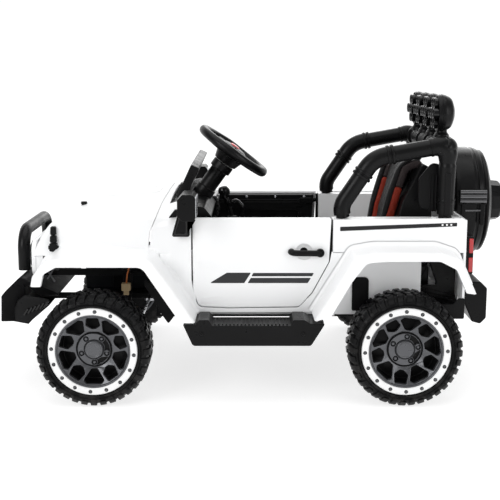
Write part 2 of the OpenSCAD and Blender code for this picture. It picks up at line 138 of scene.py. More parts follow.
class Shading:
    """The node tree of one material, written as expressions."""

    def __init__(self, name: str) -> None:
        """Starts an empty material.

        Args:
            name: the material's name.
        """
        self.material = bpy.data.materials.new(name)
        self.material.use_nodes = True
        self.tree = self.material.node_tree
        self.tree.nodes.clear()
        self.place = self.node("ShaderNodeTexCoord", {}, {}, "Object")

    def node(self, kind: str, settings: dict[str, object], inputs: dict, output: object = 0) -> Sock:
        """Makes any node.

        Args:
            kind: the node's type.
            settings: its properties, which are set first.
            inputs: values or sockets, by socket name or number.
            output: the name or number of the output that is wanted.

        Returns:
            That output.
        """
        made = self.tree.nodes.new(kind)
        for key, value in settings.items():
            setattr(made, key, value)
        for key, value in inputs.items():
            if isinstance(value, Sock):
                self.tree.links.new(value.socket, made.inputs[key])
            else:
                made.inputs[key].default_value = value
        return Sock(self, made.outputs[output])

    def stretched(self, scale: Point) -> Sock:
        """Object coordinates scaled along each axis."""
        return self.node("ShaderNodeMapping", {"vector_type": "POINT"},
            {"Vector": self.place, "Scale": scale})

    def axis(self, name: str) -> Sock:
        """One of the object coordinates "X", "Y" and "Z", in metres."""
        return self.node("ShaderNodeSeparateXYZ", {}, {"Vector": self.place}, name)

    def noise(self, per_metre: float, detail: float = 3.0, stretch: Point = (1, 1, 1)) -> Sock:
        """Soft noise.

        Args:
            per_metre: how many blotches fit in a metre.
            detail: the number of finer layers.
            stretch: how much the pattern is squeezed along each axis.

        Returns:
            The noise's value, around 0.5.
        """
        inputs = {"Vector": self.stretched(stretch), "Scale": per_metre, "Detail": detail}
        return self.node("ShaderNodeTexNoise", {}, inputs, "Fac")

    def cells(self, per_metre: float, feature: str = "F1") -> Sock:
        """The distance to the nearest cell's middle, or to its edge.

        Args:
            per_metre: how many cells fit in a metre.
            feature: the Voronoi feature.

        Returns:
            The distance.
        """
        inputs = {"Vector": self.place, "Scale": per_metre}
        return self.node("ShaderNodeTexVoronoi", {"feature": feature}, inputs, "Distance")

    def mixed(self, share: Sock, first: object, second: object) -> Sock:
        """A colour between two colours.

        Args:
            share: 0 gives the first and 1 the second.
            first: a colour or a socket.
            second: a colour or a socket.

        Returns:
            The mixed colour.
        """
        settings = {"data_type": "RGBA", "clamp_factor": True}
        return self.node("ShaderNodeMix", settings, {0: share, 6: first, 7: second}, 2)

    def bumped(self, height: Sock, depth: float, under: Sock | None = None) -> Sock:
        """A normal bent by a height.

        Args:
            height: the height, from 0 to 1.
            depth: what a height of 1 is worth, in metres.
            under: a normal that this one is laid on.

        Returns:
            The normal.
        """
        inputs = {"Height": height, "Distance": depth, "Strength": 1.0}
        if under is not None:
            inputs["Normal"] = under
        return self.node("ShaderNodeBump", {}, inputs)

    def finished(self, inputs: dict) -> bpy.types.Material:
        """Closes the tree with one Principled shader.

        Args:
            inputs: the shader's inputs by name.

        Returns:
            The material.
        """
        shader = self.node("ShaderNodeBsdfPrincipled", {}, inputs)
        end = self.tree.nodes.new("ShaderNodeOutputMaterial")
        self.tree.links.new(shader.socket, end.inputs["Surface"])
        return self.material


# ---- finishes ----------------------------------------------------------------------------

Colour = tuple[float, float, float]


def rgba(colour: Colour, factor: float = 1.0) -> tuple[float, float, float, float]:
    """A colour with its alpha, brightened or darkened by a factor."""
    red, green, blue = (min(1.0, channel * factor) for channel in colour)
    return red, green, blue, 1.0


@dataclass(frozen=True)
class Plastic:
    """Moulded plastic or painted metal, with wandering gloss, tone and a moulded grain."""

    slot: str
    colour: Colour
    rough: float
    spread: float = 0.1
    tone: float = 0.08
    grain_depth: float = 0.0
    grain_count: float = 900.0
    ripple_depth: float = 0.0
    coat: float = 0.0
    metallic: float = 0.0
    dust: float = 0.0
    shine: float = 0.5

    def material(self, name: str) -> bpy.types.Material:
        """Makes the material.

        Args:
            name: its name.

        Returns:
            The material.
        """
        tree = Shading(name)
        patches = tree.noise(9.0, 4.0)
        fine = tree.noise(140.0, 2.0)
        gloss = tree.noise(23.0, 3.0, (1, 1, 2)) * 0.7 + fine * 0.3
        colour = tree.mixed(patches.clamped(0.3, 0.7), rgba(self.colour, 1 - self.tone),
            rgba(self.colour, 1 + self.tone))
        rough = gloss.clamped(0.3, 0.7, self.rough - self.spread, self.rough + self.spread)
        if self.dust:
            low = tree.axis("Z").clamped(0.02, 0.2, self.dust, 0.0)
            settled = low * tree.noise(60.0, 5.0).clamped(0.42, 0.7)
            colour = tree.mixed(settled, colour, rgba((0.16, 0.15, 0.14)))
            rough = rough + settled * 0.3
        inputs = {"Base Color": colour, "Roughness": rough, "Metallic": self.metallic,
            "Coat Weight": self.coat}
        inputs["Specular IOR Level"] = self.shine
        normal = None
        if self.ripple_depth:
            normal = tree.bumped(tree.noise(16.0, 1.0), self.ripple_depth)
        if self.grain_depth:
            pebbles = tree.cells(self.grain_count, "SMOOTH_F1") * 0.6 + tree.noise(self.grain_count * 0.8,
                2.0) * 0.4
            normal = tree.bumped(pebbles, self.grain_depth, normal)
        if normal is not None:
            inputs["Normal"] = normal
        return tree.finished(inputs)


@dataclass(frozen=True)
class Leatherette:
    """Soft coated cloth with a creased grain, painted shade in its creases and a slight sheen."""

    slot: str
    colour: Colour
    rough: float = 0.5
    grain_count: float = 520.0
    grain_depth: float = 0.0004

    def material(self, name: str) -> bpy.types.Material:
        """Makes the material.

        Args:
            name: its name.

        Returns:
            The material.
        """
        tree = Shading(name)
        creases = tree.cells(self.grain_count, "DISTANCE_TO_EDGE").clamped(0.0, 0.12)
        folds = tree.noise(34.0, 3.0)
        worn = tree.noise(12.0, 4.0).clamped(0.35, 0.7)
        # painted shade: the colour darkens towards the grain's creases, the cells' edges
        painted_crease_shade = tree.mixed(creases, rgba(self.colour, 0.55), rgba(self.colour))
        colour = tree.mixed(worn * 0.5, painted_crease_shade, rgba(self.colour, 1.35))
        rough = worn.clamped(0.0, 1.0, self.rough + 0.08, self.rough - 0.08) - creases * 0.06
        normal = tree.bumped(creases, self.grain_depth, tree.bumped(folds, 0.0016))
        sheen = {"Sheen Weight": 0.04, "Sheen Roughness": 0.4, "Specular IOR Level": 0.2}
        return tree.finished({"Base Color": colour, "Roughness": rough, "Normal": normal, **sheen})


@dataclass(frozen=True)
class Lens:
    """Clear or coloured moulded lens with fine vertical flutes."""

    slot: str
    colour: Colour
    flutes: float = 260.0
    clear: float = 0.0

    def material(self, name: str) -> bpy.types.Material:
        """Makes the material.

        Args:
            name: its name.

        Returns:
            The material.
        """
        tree = Shading(name)
        flutes = tree.node("ShaderNodeTexWave", {"bands_direction": "Y"},
            {"Vector": tree.place, "Scale": self.flutes / 20})
        deep = tree.mixed(tree.noise(70.0), rgba(self.colour, 0.75), rgba(self.colour, 1.2))
        rough = tree.noise(90.0).clamped(0.3, 0.7, 0.06, 0.16)
        normal = tree.bumped(flutes, 0.0005)
        fixed = {"Coat Weight": 0.8, "Transmission Weight": self.clear, "IOR": 1.49}
        return tree.finished({"Base Color": deep, "Roughness": rough, "Normal": normal, **fixed})


class Finish(Enum):
    """Every finish on the car."""

    WHITE_SHELL = Plastic("white_shell", (0.9, 0.905, 0.91), 0.36, 0.04, 0.006, coat=0.1)
    WHITE_RING = Plastic("white_shell", (0.84, 0.84, 0.84), 0.42, 0.06, 0.02, 0.00006, 1400)
    BLACK_TRIM = Plastic("black_trim", (0.005, 0.005, 0.0053), 0.33, 0.07, 0.15, 0.0001, 900, shine=0.13)
    BLACK_GLOSS = Plastic("black_trim", (0.004, 0.004, 0.0043), 0.14, 0.05, 0.1, ripple_depth=0.0004,
        coat=0.1, shine=0.3)
    PIPE_BLACK = Plastic("black_trim", (0.0045, 0.0045, 0.0048), 0.32, 0.06, 0.15, 0.00006, 1300, shine=0.16)
    CHASSIS_BLACK = Plastic("chassis_black", (0.004, 0.004, 0.0043), 0.5, 0.12, 0.2, 0.00015, 700, dust=0.15,
        shine=0.1)
    TYRE_BLACK = Plastic("wheel_black", (0.004, 0.004, 0.0043), 0.4, 0.12, 0.18, 0.00018, 620, dust=0.12,
        shine=0.14)
    RIM_GREY = Plastic("rim_grey", (0.1, 0.102, 0.109), 0.3, 0.06, 0.06, 0.00005, 1500, metallic=0.6,
        shine=0.4)
    GEAR_GREY = Plastic("rim_grey", (0.12, 0.12, 0.125), 0.5, 0.08, 0.06, 0.0001, 800)
    STEEL = Plastic("steel", (0.55, 0.56, 0.58), 0.3, 0.1, 0.1, ripple_depth=0.0002, metallic=1.0)
    BATTERY = Plastic("battery_case", (0.008, 0.009, 0.011), 0.4, 0.08, 0.1, 0.0001, 800, shine=0.15)
    WIRE_BLACK = Plastic("wire", (0.015, 0.015, 0.016), 0.4, 0.08, 0.15)
    WIRE_ORANGE = Plastic("wire", (0.5, 0.13, 0.02), 0.4, 0.08, 0.15)
    CONNECTOR = Plastic("wire", (0.42, 0.31, 0.17), 0.5, 0.08, 0.1, 0.0001, 900)
    DECAL_BLACK = Plastic("black_trim", (0.015, 0.015, 0.016), 0.32, 0.05, 0.1, shine=0.25)
    DECAL_GREY = Plastic("black_trim", (0.03, 0.031, 0.033), 0.32, 0.05, 0.1, shine=0.25)
    BUCKLE_GREY = Plastic("black_trim", (0.1, 0.1, 0.105), 0.22, 0.08, 0.15, ripple_depth=0.0003, coat=0.6,
        metallic=0.5)
    HORN_RED = Plastic("red_lens", (0.55, 0.02, 0.025), 0.3, 0.06, 0.1, coat=0.4)
    SEAT_RED = Leatherette("seat_fabric_red", (0.3, 0.03, 0.014))
    SEAT_BLACK = Leatherette("seat_fabric_black", (0.006, 0.0057, 0.006), 0.55)
    SEAT_GREY = Leatherette("seat_fabric_black", (0.035, 0.026, 0.026), 0.52)
    RED_LENS = Lens("red_lens", (0.42, 0.001, 0.004))
    LAMP_LENS = Lens("lamp_lens", (0.75, 0.77, 0.8), clear=0.35)
    LAMP_CELL = Lens("lamp_lens", (0.02, 0.02, 0.022), 300.0)

    @property
    def slot(self) -> str:
        """The record's slot that this finish belongs to."""
        return self.value.slot

    @property
    def material(self) -> bpy.types.Material:
        """The finish's material, made when it is first asked for."""
        name = f"{self.name.lower()}_look"
        return bpy.data.materials.get(name) or self.value.material(name)


# ---- shapes ------------------------------------------------------------------------------


def arc_points(before: Vector, corner: Vector, after: Vector, radius: float, steps: int) -> list[Vector]:
    """The points that round a corner.

    Args:
        before: the point before the corner.
        corner: the corner itself.
        after: the point after the corner.
        radius: the corner's radius.
        steps: how many chords the arc has.

    Returns:
        The arc's points in order.
    """
    back, ahead = (before - corner).normalized(), (after - corner).normalized()
    half = back.angle(ahead) / 2
    if radius <= 0:
        return [corner.copy()]
    if half > math.radians(89.5):
        return [corner + ahead * (0.03 * step) for step in range(steps + 1)]
    middle = corner + (back + ahead).normalized() * (radius / math.sin(half))
    start = corner + back * (radius / math.tan(half)) - middle
    end = corner + ahead * (radius / math.tan(half)) - middle
    turn = math.pi - 2 * half
    shares = (step / steps for step in range(steps + 1))
    return [middle + (start * math.sin(turn * (1 - s)) + end * math.sin(turn * s)) / math.sin(turn)
        for s in shares]


def rounded(points: Sequence[Point], closed: bool = True, steps: int = 6) -> list[Vector]:
    """An outline or path whose last number at each point is that corner's radius.

    Args:
        points: the corners, each with its radius last.
        closed: whether the last point joins the first.
        steps: how many chords each corner has.

    Returns:
        The rounded points.
    """
    places = [Vector(p[:-1]) for p in points]
    count = len(places)
    made: list[Vector] = []
    for i, (place, point) in enumerate(zip(places, points)):
        if not closed and i in (0, count - 1):
            made.append(place)
        else:
            made += arc_points(places[i - 1], place, places[(i + 1) % count], point[-1], steps)
    return made


def circle(radius: float, count: int, middle: Point = (0, 0)) -> list[tuple[float, float]]:
    """The points of a circle, from a middle and anticlockwise."""
    turns = [math.tau * i / count for i in range(count)]
    return [(middle[0] + radius * math.cos(a), middle[1] + radius * math.sin(a)) for a in turns]


def span(node: str) -> tuple[Vector, Vector]:
    """A CAD node's low and high corner, in millimetres."""
    low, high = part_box(node)
    return low / MM, high / MM


def frame_across(axis: Vector) -> tuple[Vector, Vector]:
    """Two unit vectors that are square to an axis and to each other."""
    seed = ACROSS if abs(axis.normalized().y) < 0.9 else UP
    first = axis.cross(seed).normalized()
    return first, axis.cross(first).normalized()


class Form:
    """A mesh in the making, in millimetres, in the car's own frame."""

    def __init__(self) -> None:
        """Starts with nothing."""
        self.points: list[Vector] = []
        self.faces: list[tuple[int, ...]] = []

    def add(self, points: Sequence[Point], faces: Sequence[Sequence[int]]) -> "Form":
        """Adds points, and faces that count from the first of them."""
        start = len(self.points)
        self.points += [Vector(p) for p in points]
        self.faces += [tuple(start + i for i in face) for face in faces]
        return self

    def join(self, *others: "Form") -> "Form":
        """Adds other forms to this one."""
        for other in others:
            self.add(other.points, other.faces)
        return self

    def loft(self, loops: Sequence[Sequence[Point]], closed: bool = True, ends: bool = True) -> "Form":
        """Joins loops of equally many points by a skin.

        Args:
            loops: the loops in order.
            closed: whether each loop's last point joins its first.
            ends: whether the first and last loops are filled in.

        Returns:
            This form.
        """
        size = len(loops[0])
        start_faces: list[tuple[int, ...]] = []
        for row in range(len(loops) - 1):
            for i in range(size if closed else size - 1):
                j = (i + 1) % size
                start_faces.append((row * size + i, row * size + j, (row + 1) * size + j,
                    (row + 1) * size + i))
        if ends:
            start_faces.append(tuple(reversed(range(size))))
            start_faces.append(tuple((len(loops) - 1) * size + i for i in range(size)))
        return self.add([p for loop in loops for p in loop], start_faces)

    def revolve(self, profile: Sequence[Point], centre: Point, axis: Vector, steps: int = 64,
            closed: bool = False) -> "Form":
        """Turns a profile round an axis.

        Args:
            profile: pairs of radius and distance along the axis.
            centre: the point on the axis where the distance is 0.
            axis: the unit axis.
            steps: how many flats go round.
            closed: whether the profile's last point joins its first.

        Returns:
            This form.
        """
        first, second = frame_across(axis)
        middle = Vector(centre)
        rows = []
        for step in range(steps):
            angle = math.tau * step / steps
            spoke = first * math.cos(angle) + second * math.sin(angle)
            rows.append([middle + axis * along + spoke * radius for radius, along in profile])
        rows.append(rows[0])
        return self.loft(rows, closed=closed, ends=False)

    def lathe(self, corners: Sequence[Point], centre: Point, axis: Vector, steps: int = 64) -> "Form":
        """Turns an open profile of corners, each with its radius last, round an axis."""
        return self.revolve(rounded(corners, closed=False), centre, axis, steps)

    def prism(self, outline: Sequence[Point], low_y: float, high_y: float) -> "Form":
        """Gives a side outline in X and Z a thickness from low_y to high_y."""
        return self.loft([[(p[0], y, p[1]) for p in outline] for y in (low_y, high_y)])

    def box(self, low: Point, high: Point) -> "Form":
        """Adds a box from its low corner to its high corner."""
        outline = [(low[0], low[2]), (high[0], low[2]), (high[0], high[2]), (low[0], high[2])]
        return self.prism(outline, low[1], high[1])

    def tube(self, path: Sequence[Point], radius: float | Sequence[float], sides: int = 20) -> "Form":
        """Sweeps a circle along a path.

        Args:
            path: the points of the middle line.
            radius: one radius, or one for each point.
            sides: how many flats go round.

        Returns:
            This form.
        """
        line = [Vector(p) for p in path]
        radii = [radius] * len(line) if isinstance(radius, (int, float)) else list(radius)
        last = len(line) - 1
        along = [(line[min(i + 1, last)] - line[max(i - 1, 0)]).normalized() for i in range(last + 1)]
        spoke = frame_across(along[0])[0]
        loops = []
        for place, way, size in zip(line, along, radii):
            spoke = (spoke - way * spoke.dot(way)).normalized()
            other = way.cross(spoke)
            turns = [math.tau * side / sides for side in range(sides)]
            loops.append([place + (spoke * math.cos(a) + other * math.sin(a)) * size for a in turns])
        return self.loft(loops)

    def moved(self, matrix: Matrix) -> "Form":
        """A copy of this form, moved by a matrix in millimetres."""
        return Form().add([matrix @ p for p in self.points], self.faces)

    def shaped(self, shape: Callable[[Vector], Point]) -> "Form":
        """A copy of this form with every point moved by a function."""
        return Form().add([shape(p) for p in self.points], self.faces)

    def mirrored(self) -> "Form":
        """A copy of this form on the car's other side."""
        faces = [tuple(reversed(face)) for face in self.faces]
        return Form().add([(p.x, -p.y, p.z) for p in self.points], faces)

    def paired(self) -> "Form":
        """This form and its copy on the car's other side."""
        return Form().join(self, self.mirrored())

    def on_side(self, side: int) -> "Form":
        """This form, which is made for the left, on the side that is asked for."""
        return self if side == LEFT else self.mirrored()

    def mesh(self, name: str) -> bpy.types.Mesh:
        """Makes a clean mesh in metres, with its faces pointing outwards."""
        mesh = bpy.data.meshes.new(name)
        mesh.from_pydata([tuple(p * MM) for p in self.points], [], self.faces)
        return cleaned(mesh)


def cleaned(mesh: bpy.types.Mesh, melt: float = 0.0) -> bpy.types.Mesh:
    """Merges a mesh's doubled points and turns its faces outwards.

    Args:
        mesh: the mesh, which is changed.
        melt: the angle in degrees under which flat faces are joined, or 0 for none.

    Returns:
        The same mesh.
    """
    work = bmesh.new()
    work.from_mesh(mesh)
    bmesh.ops.remove_doubles(work, verts=work.verts, dist=0.00001)
    bmesh.ops.dissolve_degenerate(work, edges=work.edges, dist=0.00001)
    if melt:
        bmesh.ops.dissolve_limit(work, angle_limit=math.radians(melt), verts=work.verts, edges=work.edges)
    bmesh.ops.recalc_face_normals(work, faces=work.faces)
    work.to_mesh(mesh)
    work.free()
    return mesh


def plate(outline: Sequence[Point], holes: Sequence[Sequence[Point]], depth: float, edge: float) -> Form:
    """A flat plate with rounded edges and holes, from 0 to depth along the third axis.

    Args:
        outline: the plate's outline, in two coordinates.
        holes: the outlines of its holes.
        depth: its thickness.
        edge: the radius of its edges.

    Returns:
        The plate as a form.
    """
    curve = bpy.data.curves.new("plate", "CURVE")
    curve.dimensions = "2D"
    curve.fill_mode = "BOTH"
    curve.extrude = depth / 2 - edge
    curve.bevel_depth = edge
    curve.bevel_resolution = 2
    curve.offset = -edge
    for index, loop in enumerate([outline, *holes]):
        points = [Vector(p).to_2d() for p in loop]
        turn = sum(points[i - 1].cross(points[i]) for i in range(len(points)))
        if (turn > 0) == (index == 0):
            points.reverse()
        spline = curve.splines.new("POLY")
        spline.points.add(len(points) - 1)
        for target, point in zip(spline.points, points):
            target.co = (point.x, point.y, 0, 1)
        spline.use_cyclic_u = True
    holder = bpy.data.objects.new("plate", curve)
    bpy.context.scene.collection.objects.link(holder)
    mesh = evaluated_mesh(holder)
    form = Form().add([v.co + UP * depth / 2 for v in mesh.vertices],
        [tuple(f.vertices) for f in mesh.polygons])
    bpy.data.objects.remove(holder)
    bpy.data.curves.remove(curve)
    bpy.data.meshes.remove(mesh)
    return form


def facing_side(y: float) -> Matrix:
    """Stands a plate up in X and Z, with its thickness running towards the left from y."""
    return Matrix(((1, 0, 0, 0), (0, 0, -1, y), (0, 1, 0, 0), (0, 0, 0, 1)))


def side_panel(corners: Sequence[Point], depth: float, edge: float, y: float, steps: int = 6) -> Form:
    """A plate with round corners that stands in X and Z, and is as thick as depth from y to the left."""
    return plate(rounded(corners, steps=steps), [], depth, edge).moved(facing_side(y))


def facing_front(x: float) -> Matrix:
    """Stands a plate up in Y and Z, with its thickness running towards the front from x."""
    return Matrix(((0, 0, -1, x), (1, 0, 0, 0), (0, 1, 0, 0), (0, 0, 0, 1)))


def evaluated_mesh(holder: bpy.types.Object) -> bpy.types.Mesh:
    """A plain mesh of an object with all its modifiers applied."""
    graph = bpy.context.evaluated_depsgraph_get()
    graph.update()
    return bpy.data.meshes.new_from_object(holder.evaluated_get(graph), depsgraph=graph)


def applied(holder: bpy.types.Object) -> bpy.types.Object:
    """Turns an object's modifiers into its plain mesh."""
    mesh = evaluated_mesh(holder)
    holder.modifiers.clear()
    old, holder.data = holder.data, mesh
    bpy.data.meshes.remove(old)
    mesh.name = holder.name
    return holder


def placed(name: str, mesh: bpy.types.Mesh) -> bpy.types.Object:
    """Puts a mesh into the scene as an object at the origin."""
    made = bpy.data.objects.new(name, mesh)
    bpy.context.scene.collection.objects.link(made)
    return made


def smoothed(mesh: bpy.types.Mesh, angle: float) -> None:
    """Shades a mesh smooth, apart from edges that turn by more than an angle in degrees."""
    mesh.polygons.foreach_set("use_smooth", [True] * len(mesh.polygons))
    mesh.set_sharp_from_angle(angle=math.radians(angle))


@dataclass(frozen=True)
class Edges:
    """How a piece's edges and skin are softened, in millimetres and degrees."""

    bevel: float = 0.0
    segments: int = 3
    sharp: float = 38.0
    skin: float = 0.0


CRISP = Edges(sharp=45)
SOFT = Edges(sharp=50)


def softened(made: bpy.types.Object, edges: Edges) -> bpy.types.Object:
    """Thickens an object, rounds its sharp edges and shades it smooth.

    Args:
        made: the object.
        edges: how its edges are softened.

    Returns:
        The same object, with a plain mesh.
    """
    if edges.skin:
        skin = made.modifiers.new("Skin", "SOLIDIFY")
        skin.thickness = edges.skin * MM
        skin.offset = -1
    if edges.bevel:
        bevel = made.modifiers.new("Edges", "BEVEL")
        bevel.width = edges.bevel * MM
        bevel.segments = edges.segments
        bevel.limit_method = "ANGLE"
        bevel.angle_limit = math.radians(BEVEL_ANGLE)
    if edges.bevel or edges.skin:
        applied(made)
    smoothed(made.data, edges.sharp)
    flats = made.modifiers.new("Flats", "WEIGHTED_NORMAL")
    flats.keep_sharp = True
    return applied(made)


def carved(made: bpy.types.Object, cutter: Form) -> bpy.types.Object:
    """Cuts a closed form out of an object.

    Args:
        made: the object, a closed mesh.
        cutter: what is cut away.

    Returns:
        The same object.
    """
    tool = placed("cutter", cutter.mesh("cutter"))
    cut = made.modifiers.new("Cut", "BOOLEAN")
    cut.operation = "DIFFERENCE"
    cut.solver = "EXACT"
    cut.use_self = True
    cut.object = tool
    applied(made)
    bpy.data.objects.remove(tool)
    return made


def dressed(made: bpy.types.Object, finish: Finish, body: str,
        stands_for: Sequence[str] = ()) -> bpy.types.Object:
    """Gives an object its finish and ties it to its body.

    Args:
        made: the object.
        finish: its finish.
        body: the body that it rides on.
        stands_for: the CAD nodes that it takes the place of.

    Returns:
        The same object.
    """
    made.data.materials.clear()
    made.data.materials.append(finish.material)
    finish.slot
    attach(made, body)
    if stands_for:
        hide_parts(*stands_for)
    log.info("made %s, %d faces, on %s", made.name, len(made.data.polygons), body)
    return made


def piece(name: str, form: Form, finish: Finish, edges: Edges = Edges(), body: str = "body_shell",
        stands_for: Sequence[str] = (), cutter: Form | None = None) -> bpy.types.Object:
    """Turns a form into a finished piece.

    Args:
        name: the piece's name.
        form: its shape.
        finish: its finish.
        edges: how its edges are softened.
        body: the body that it rides on.
        stands_for: the CAD nodes that it takes the place of.
        cutter: what is cut out of it before its edges are rounded.

    Returns:
        The piece.
    """
    made = placed(name, form.mesh(name))
    if cutter is not None:
        if edges.skin:
            softened(made, Edges(skin=edges.skin))
            edges = replace(edges, skin=0.0)
        carved(made, cutter)
    return dressed(softened(made, edges), finish, body, stands_for)


def recut(node: str, finish: Finish, edges: Edges, body: str = "body_shell") -> bpy.types.Object:
    """A copy of a CAD node with its flat faces joined and its edges rounded, which stands for it.

    Args:
        node: the CAD node.
        finish: the finish.
        edges: how its edges are softened.
        body: the body that it rides on.

    Returns:
        The piece.
    """
    mesh = bpy.data.objects[node].data.copy()
    mesh.materials.clear()
    made = placed(node + "_skin", cleaned(mesh, 1.0))
    return dressed(softened(made, edges), finish, body, [node])


# ---- patterns that repeat ----------------------------------------------------------------


class Pattern(Enum):
    """How a small form repeats."""

    TURN = "Turn Repeat"
    ROW = "Row Repeat"
    PATH = "Path Repeat"


class Repeater:
    """Builds the node groups that repeat a small form, and turns their result into plain meshes."""

    def __init__(self, pattern: Pattern) -> None:
        """Builds the group of one pattern.

        Args:
            pattern: the pattern.
        """
        self.pattern = pattern
        self.group = bpy.data.node_groups.new(pattern.value, "GeometryNodeTree")
        self.group.is_modifier = True
        self.ids: dict[str, str] = {}
        inputs = {"Geometry": "Geometry", "Count": "Int", "Step": "Vector", "Start": "Vector",
            "Path": "Object"}
        for name, kind in {**inputs, "Finish": "Material"}.items():
            self._socket(name, "NodeSocket" + kind)
        self.group.interface.new_socket("Geometry", in_out="OUTPUT", socket_type="NodeSocketGeometry")
        self.inside = self._node("NodeGroupInput")
        self._build()

    def _socket(self, name: str, kind: str) -> None:
        """Adds one named input and remembers its identifier."""
        made = self.group.interface.new_socket(name, in_out="INPUT", socket_type=kind)
        self.ids[name] = made.identifier

    def _node(self, kind: str, **settings: object) -> bpy.types.Node:
        """Adds one node with its settings."""
        made = self.group.nodes.new(kind)
        for key, value in settings.items():
            setattr(made, key, value)
        return made

    def _link(self, source: bpy.types.NodeSocket, target: bpy.types.NodeSocket) -> None:
        """Joins two sockets."""
        self.group.links.new(source, target)

    def _spread(self) -> tuple[bpy.types.NodeSocket, bpy.types.NodeSocket | None]:
        """The points that carry the copies, and the turn of each copy.

        Returns:
            The points, and a rotation or None.
        """
        if self.pattern is Pattern.PATH:
            info = self._node("GeometryNodeObjectInfo", transform_space="RELATIVE")
            self._link(self.inside.outputs["Path"], info.inputs["Object"])
            spaced = self._node("GeometryNodeCurveToPoints", mode="COUNT")
            self._link(info.outputs["Geometry"], spaced.inputs["Curve"])
            self._link(self.inside.outputs["Count"], spaced.inputs["Count"])
            return spaced.outputs["Points"], spaced.outputs["Rotation"]
        points = self._node("GeometryNodePoints")
        self._link(self.inside.outputs["Count"], points.inputs["Count"])
        index = self._node("GeometryNodeInputIndex")
        scaled = self._node("ShaderNodeVectorMath", operation="MULTIPLY_ADD")
        self._link(index.outputs[0], scaled.inputs[0])
        self._link(self.inside.outputs["Step"], scaled.inputs[1])
        self._link(self.inside.outputs["Start"], scaled.inputs[2])
        if self.pattern is Pattern.TURN:
            return points.outputs[0], scaled.outputs[0]
        moved = self._node("GeometryNodeSetPosition")
        self._link(points.outputs[0], moved.inputs["Geometry"])
        self._link(scaled.outputs[0], moved.inputs["Position"])
        return moved.outputs[0], None

    def _build(self) -> None:
        """Joins points, copies, Realize Instances and Set Material."""
        points, turn = self._spread()
        copies = self._node("GeometryNodeInstanceOnPoints")
        self._link(points, copies.inputs["Points"])
        self._link(self.inside.outputs["Geometry"], copies.inputs["Instance"])
        if turn is not None:
            self._link(turn, copies.inputs["Rotation"])
        real = self._node("GeometryNodeRealizeInstances")
        self._link(copies.outputs[0], real.inputs[0])
        dress = self._node("GeometryNodeSetMaterial")
        self._link(real.outputs[0], dress.inputs["Geometry"])
        self._link(self.inside.outputs["Finish"], dress.inputs["Material"])
        end = self._node("NodeGroupOutput")
        self._link(dress.outputs[0], end.inputs[0])

    def run(self, form: Form, inputs: dict[str, object], edges: Edges = Edges()) -> Form:
        """Repeats a form.

        Args:
            form: the form, in millimetres round the pattern's own origin.
            inputs: the group's inputs by name, in metres and radians.
            edges: how the form's edges are softened before it repeats.

        Returns:
            All the copies as one form, in millimetres.
        """
        holder = softened(placed("repeated", form.mesh("repeated")), edges)
        use = holder.modifiers.new(self.pattern.value, "NODES")
        use.node_group = self.group
        for name, value in inputs.items():
            use[self.ids[name]] = value
        mesh = evaluated_mesh(holder)
        made = Form().add([v.co / MM for v in mesh.vertices], [tuple(f.vertices) for f in mesh.polygons])
        bpy.data.objects.remove(holder)
        bpy.data.meshes.remove(mesh)
        return made


@cache
def repeater(pattern: Pattern) -> Repeater:
    """The repeater of one pattern, built when it is first used."""
    return Repeater(pattern)


def turned(form: Form, count: int, start: float = 0.0, edges: Edges = Edges()) -> Form:
    """Repeats a form evenly round the Y axis.

    Args:
        form: the form, round the origin.
        count: how many copies go round.
        start: the first copy's turn, in degrees.
        edges: how the form's edges are softened.

    Returns:
        The copies.
    """
    inputs = {"Count": count, "Step": (0, math.tau / count, 0), "Start": (0, math.radians(start), 0)}
    return repeater(Pattern.TURN).run(form, inputs, edges)


def rowed(form: Form, count: int, step: Point) -> Form:
    """Repeats a form in a straight row.

    Args:
        form: the first copy, in its place.
        count: how many copies there are.
        step: the way from one copy to the next, in millimetres.

    Returns:
        The copies.
    """
    inputs = {"Count": count, "Step": tuple(Vector(step) * MM), "Start": (0, 0, 0)}
    return repeater(Pattern.ROW).run(form, inputs)


def along_path(form: Form, path: Sequence[Point], count: int) -> Form:
    """Repeats a form along a path, with its Z along the path.

    Args:
        form: the form, round the origin.
        path: the path's points, in millimetres.
        count: how many copies there are.

    Returns:
        The copies.
    """
    curve = bpy.data.curves.new("path", "CURVE")
    curve.dimensions = "3D"
    spline = curve.splines.new("POLY")
    spline.points.add(len(path) - 1)
    for target, point in zip(spline.points, path):
        target.co = (*(Vector(point) * MM), 1)
    holder = placed("path", curve)
    made = repeater(Pattern.PATH).run(form, {"Count": count, "Path": holder})
    bpy.data.objects.remove(holder)
    bpy.data.curves.remove(curve)
    return made


# ---- wheels ------------------------------------------------------------------------------


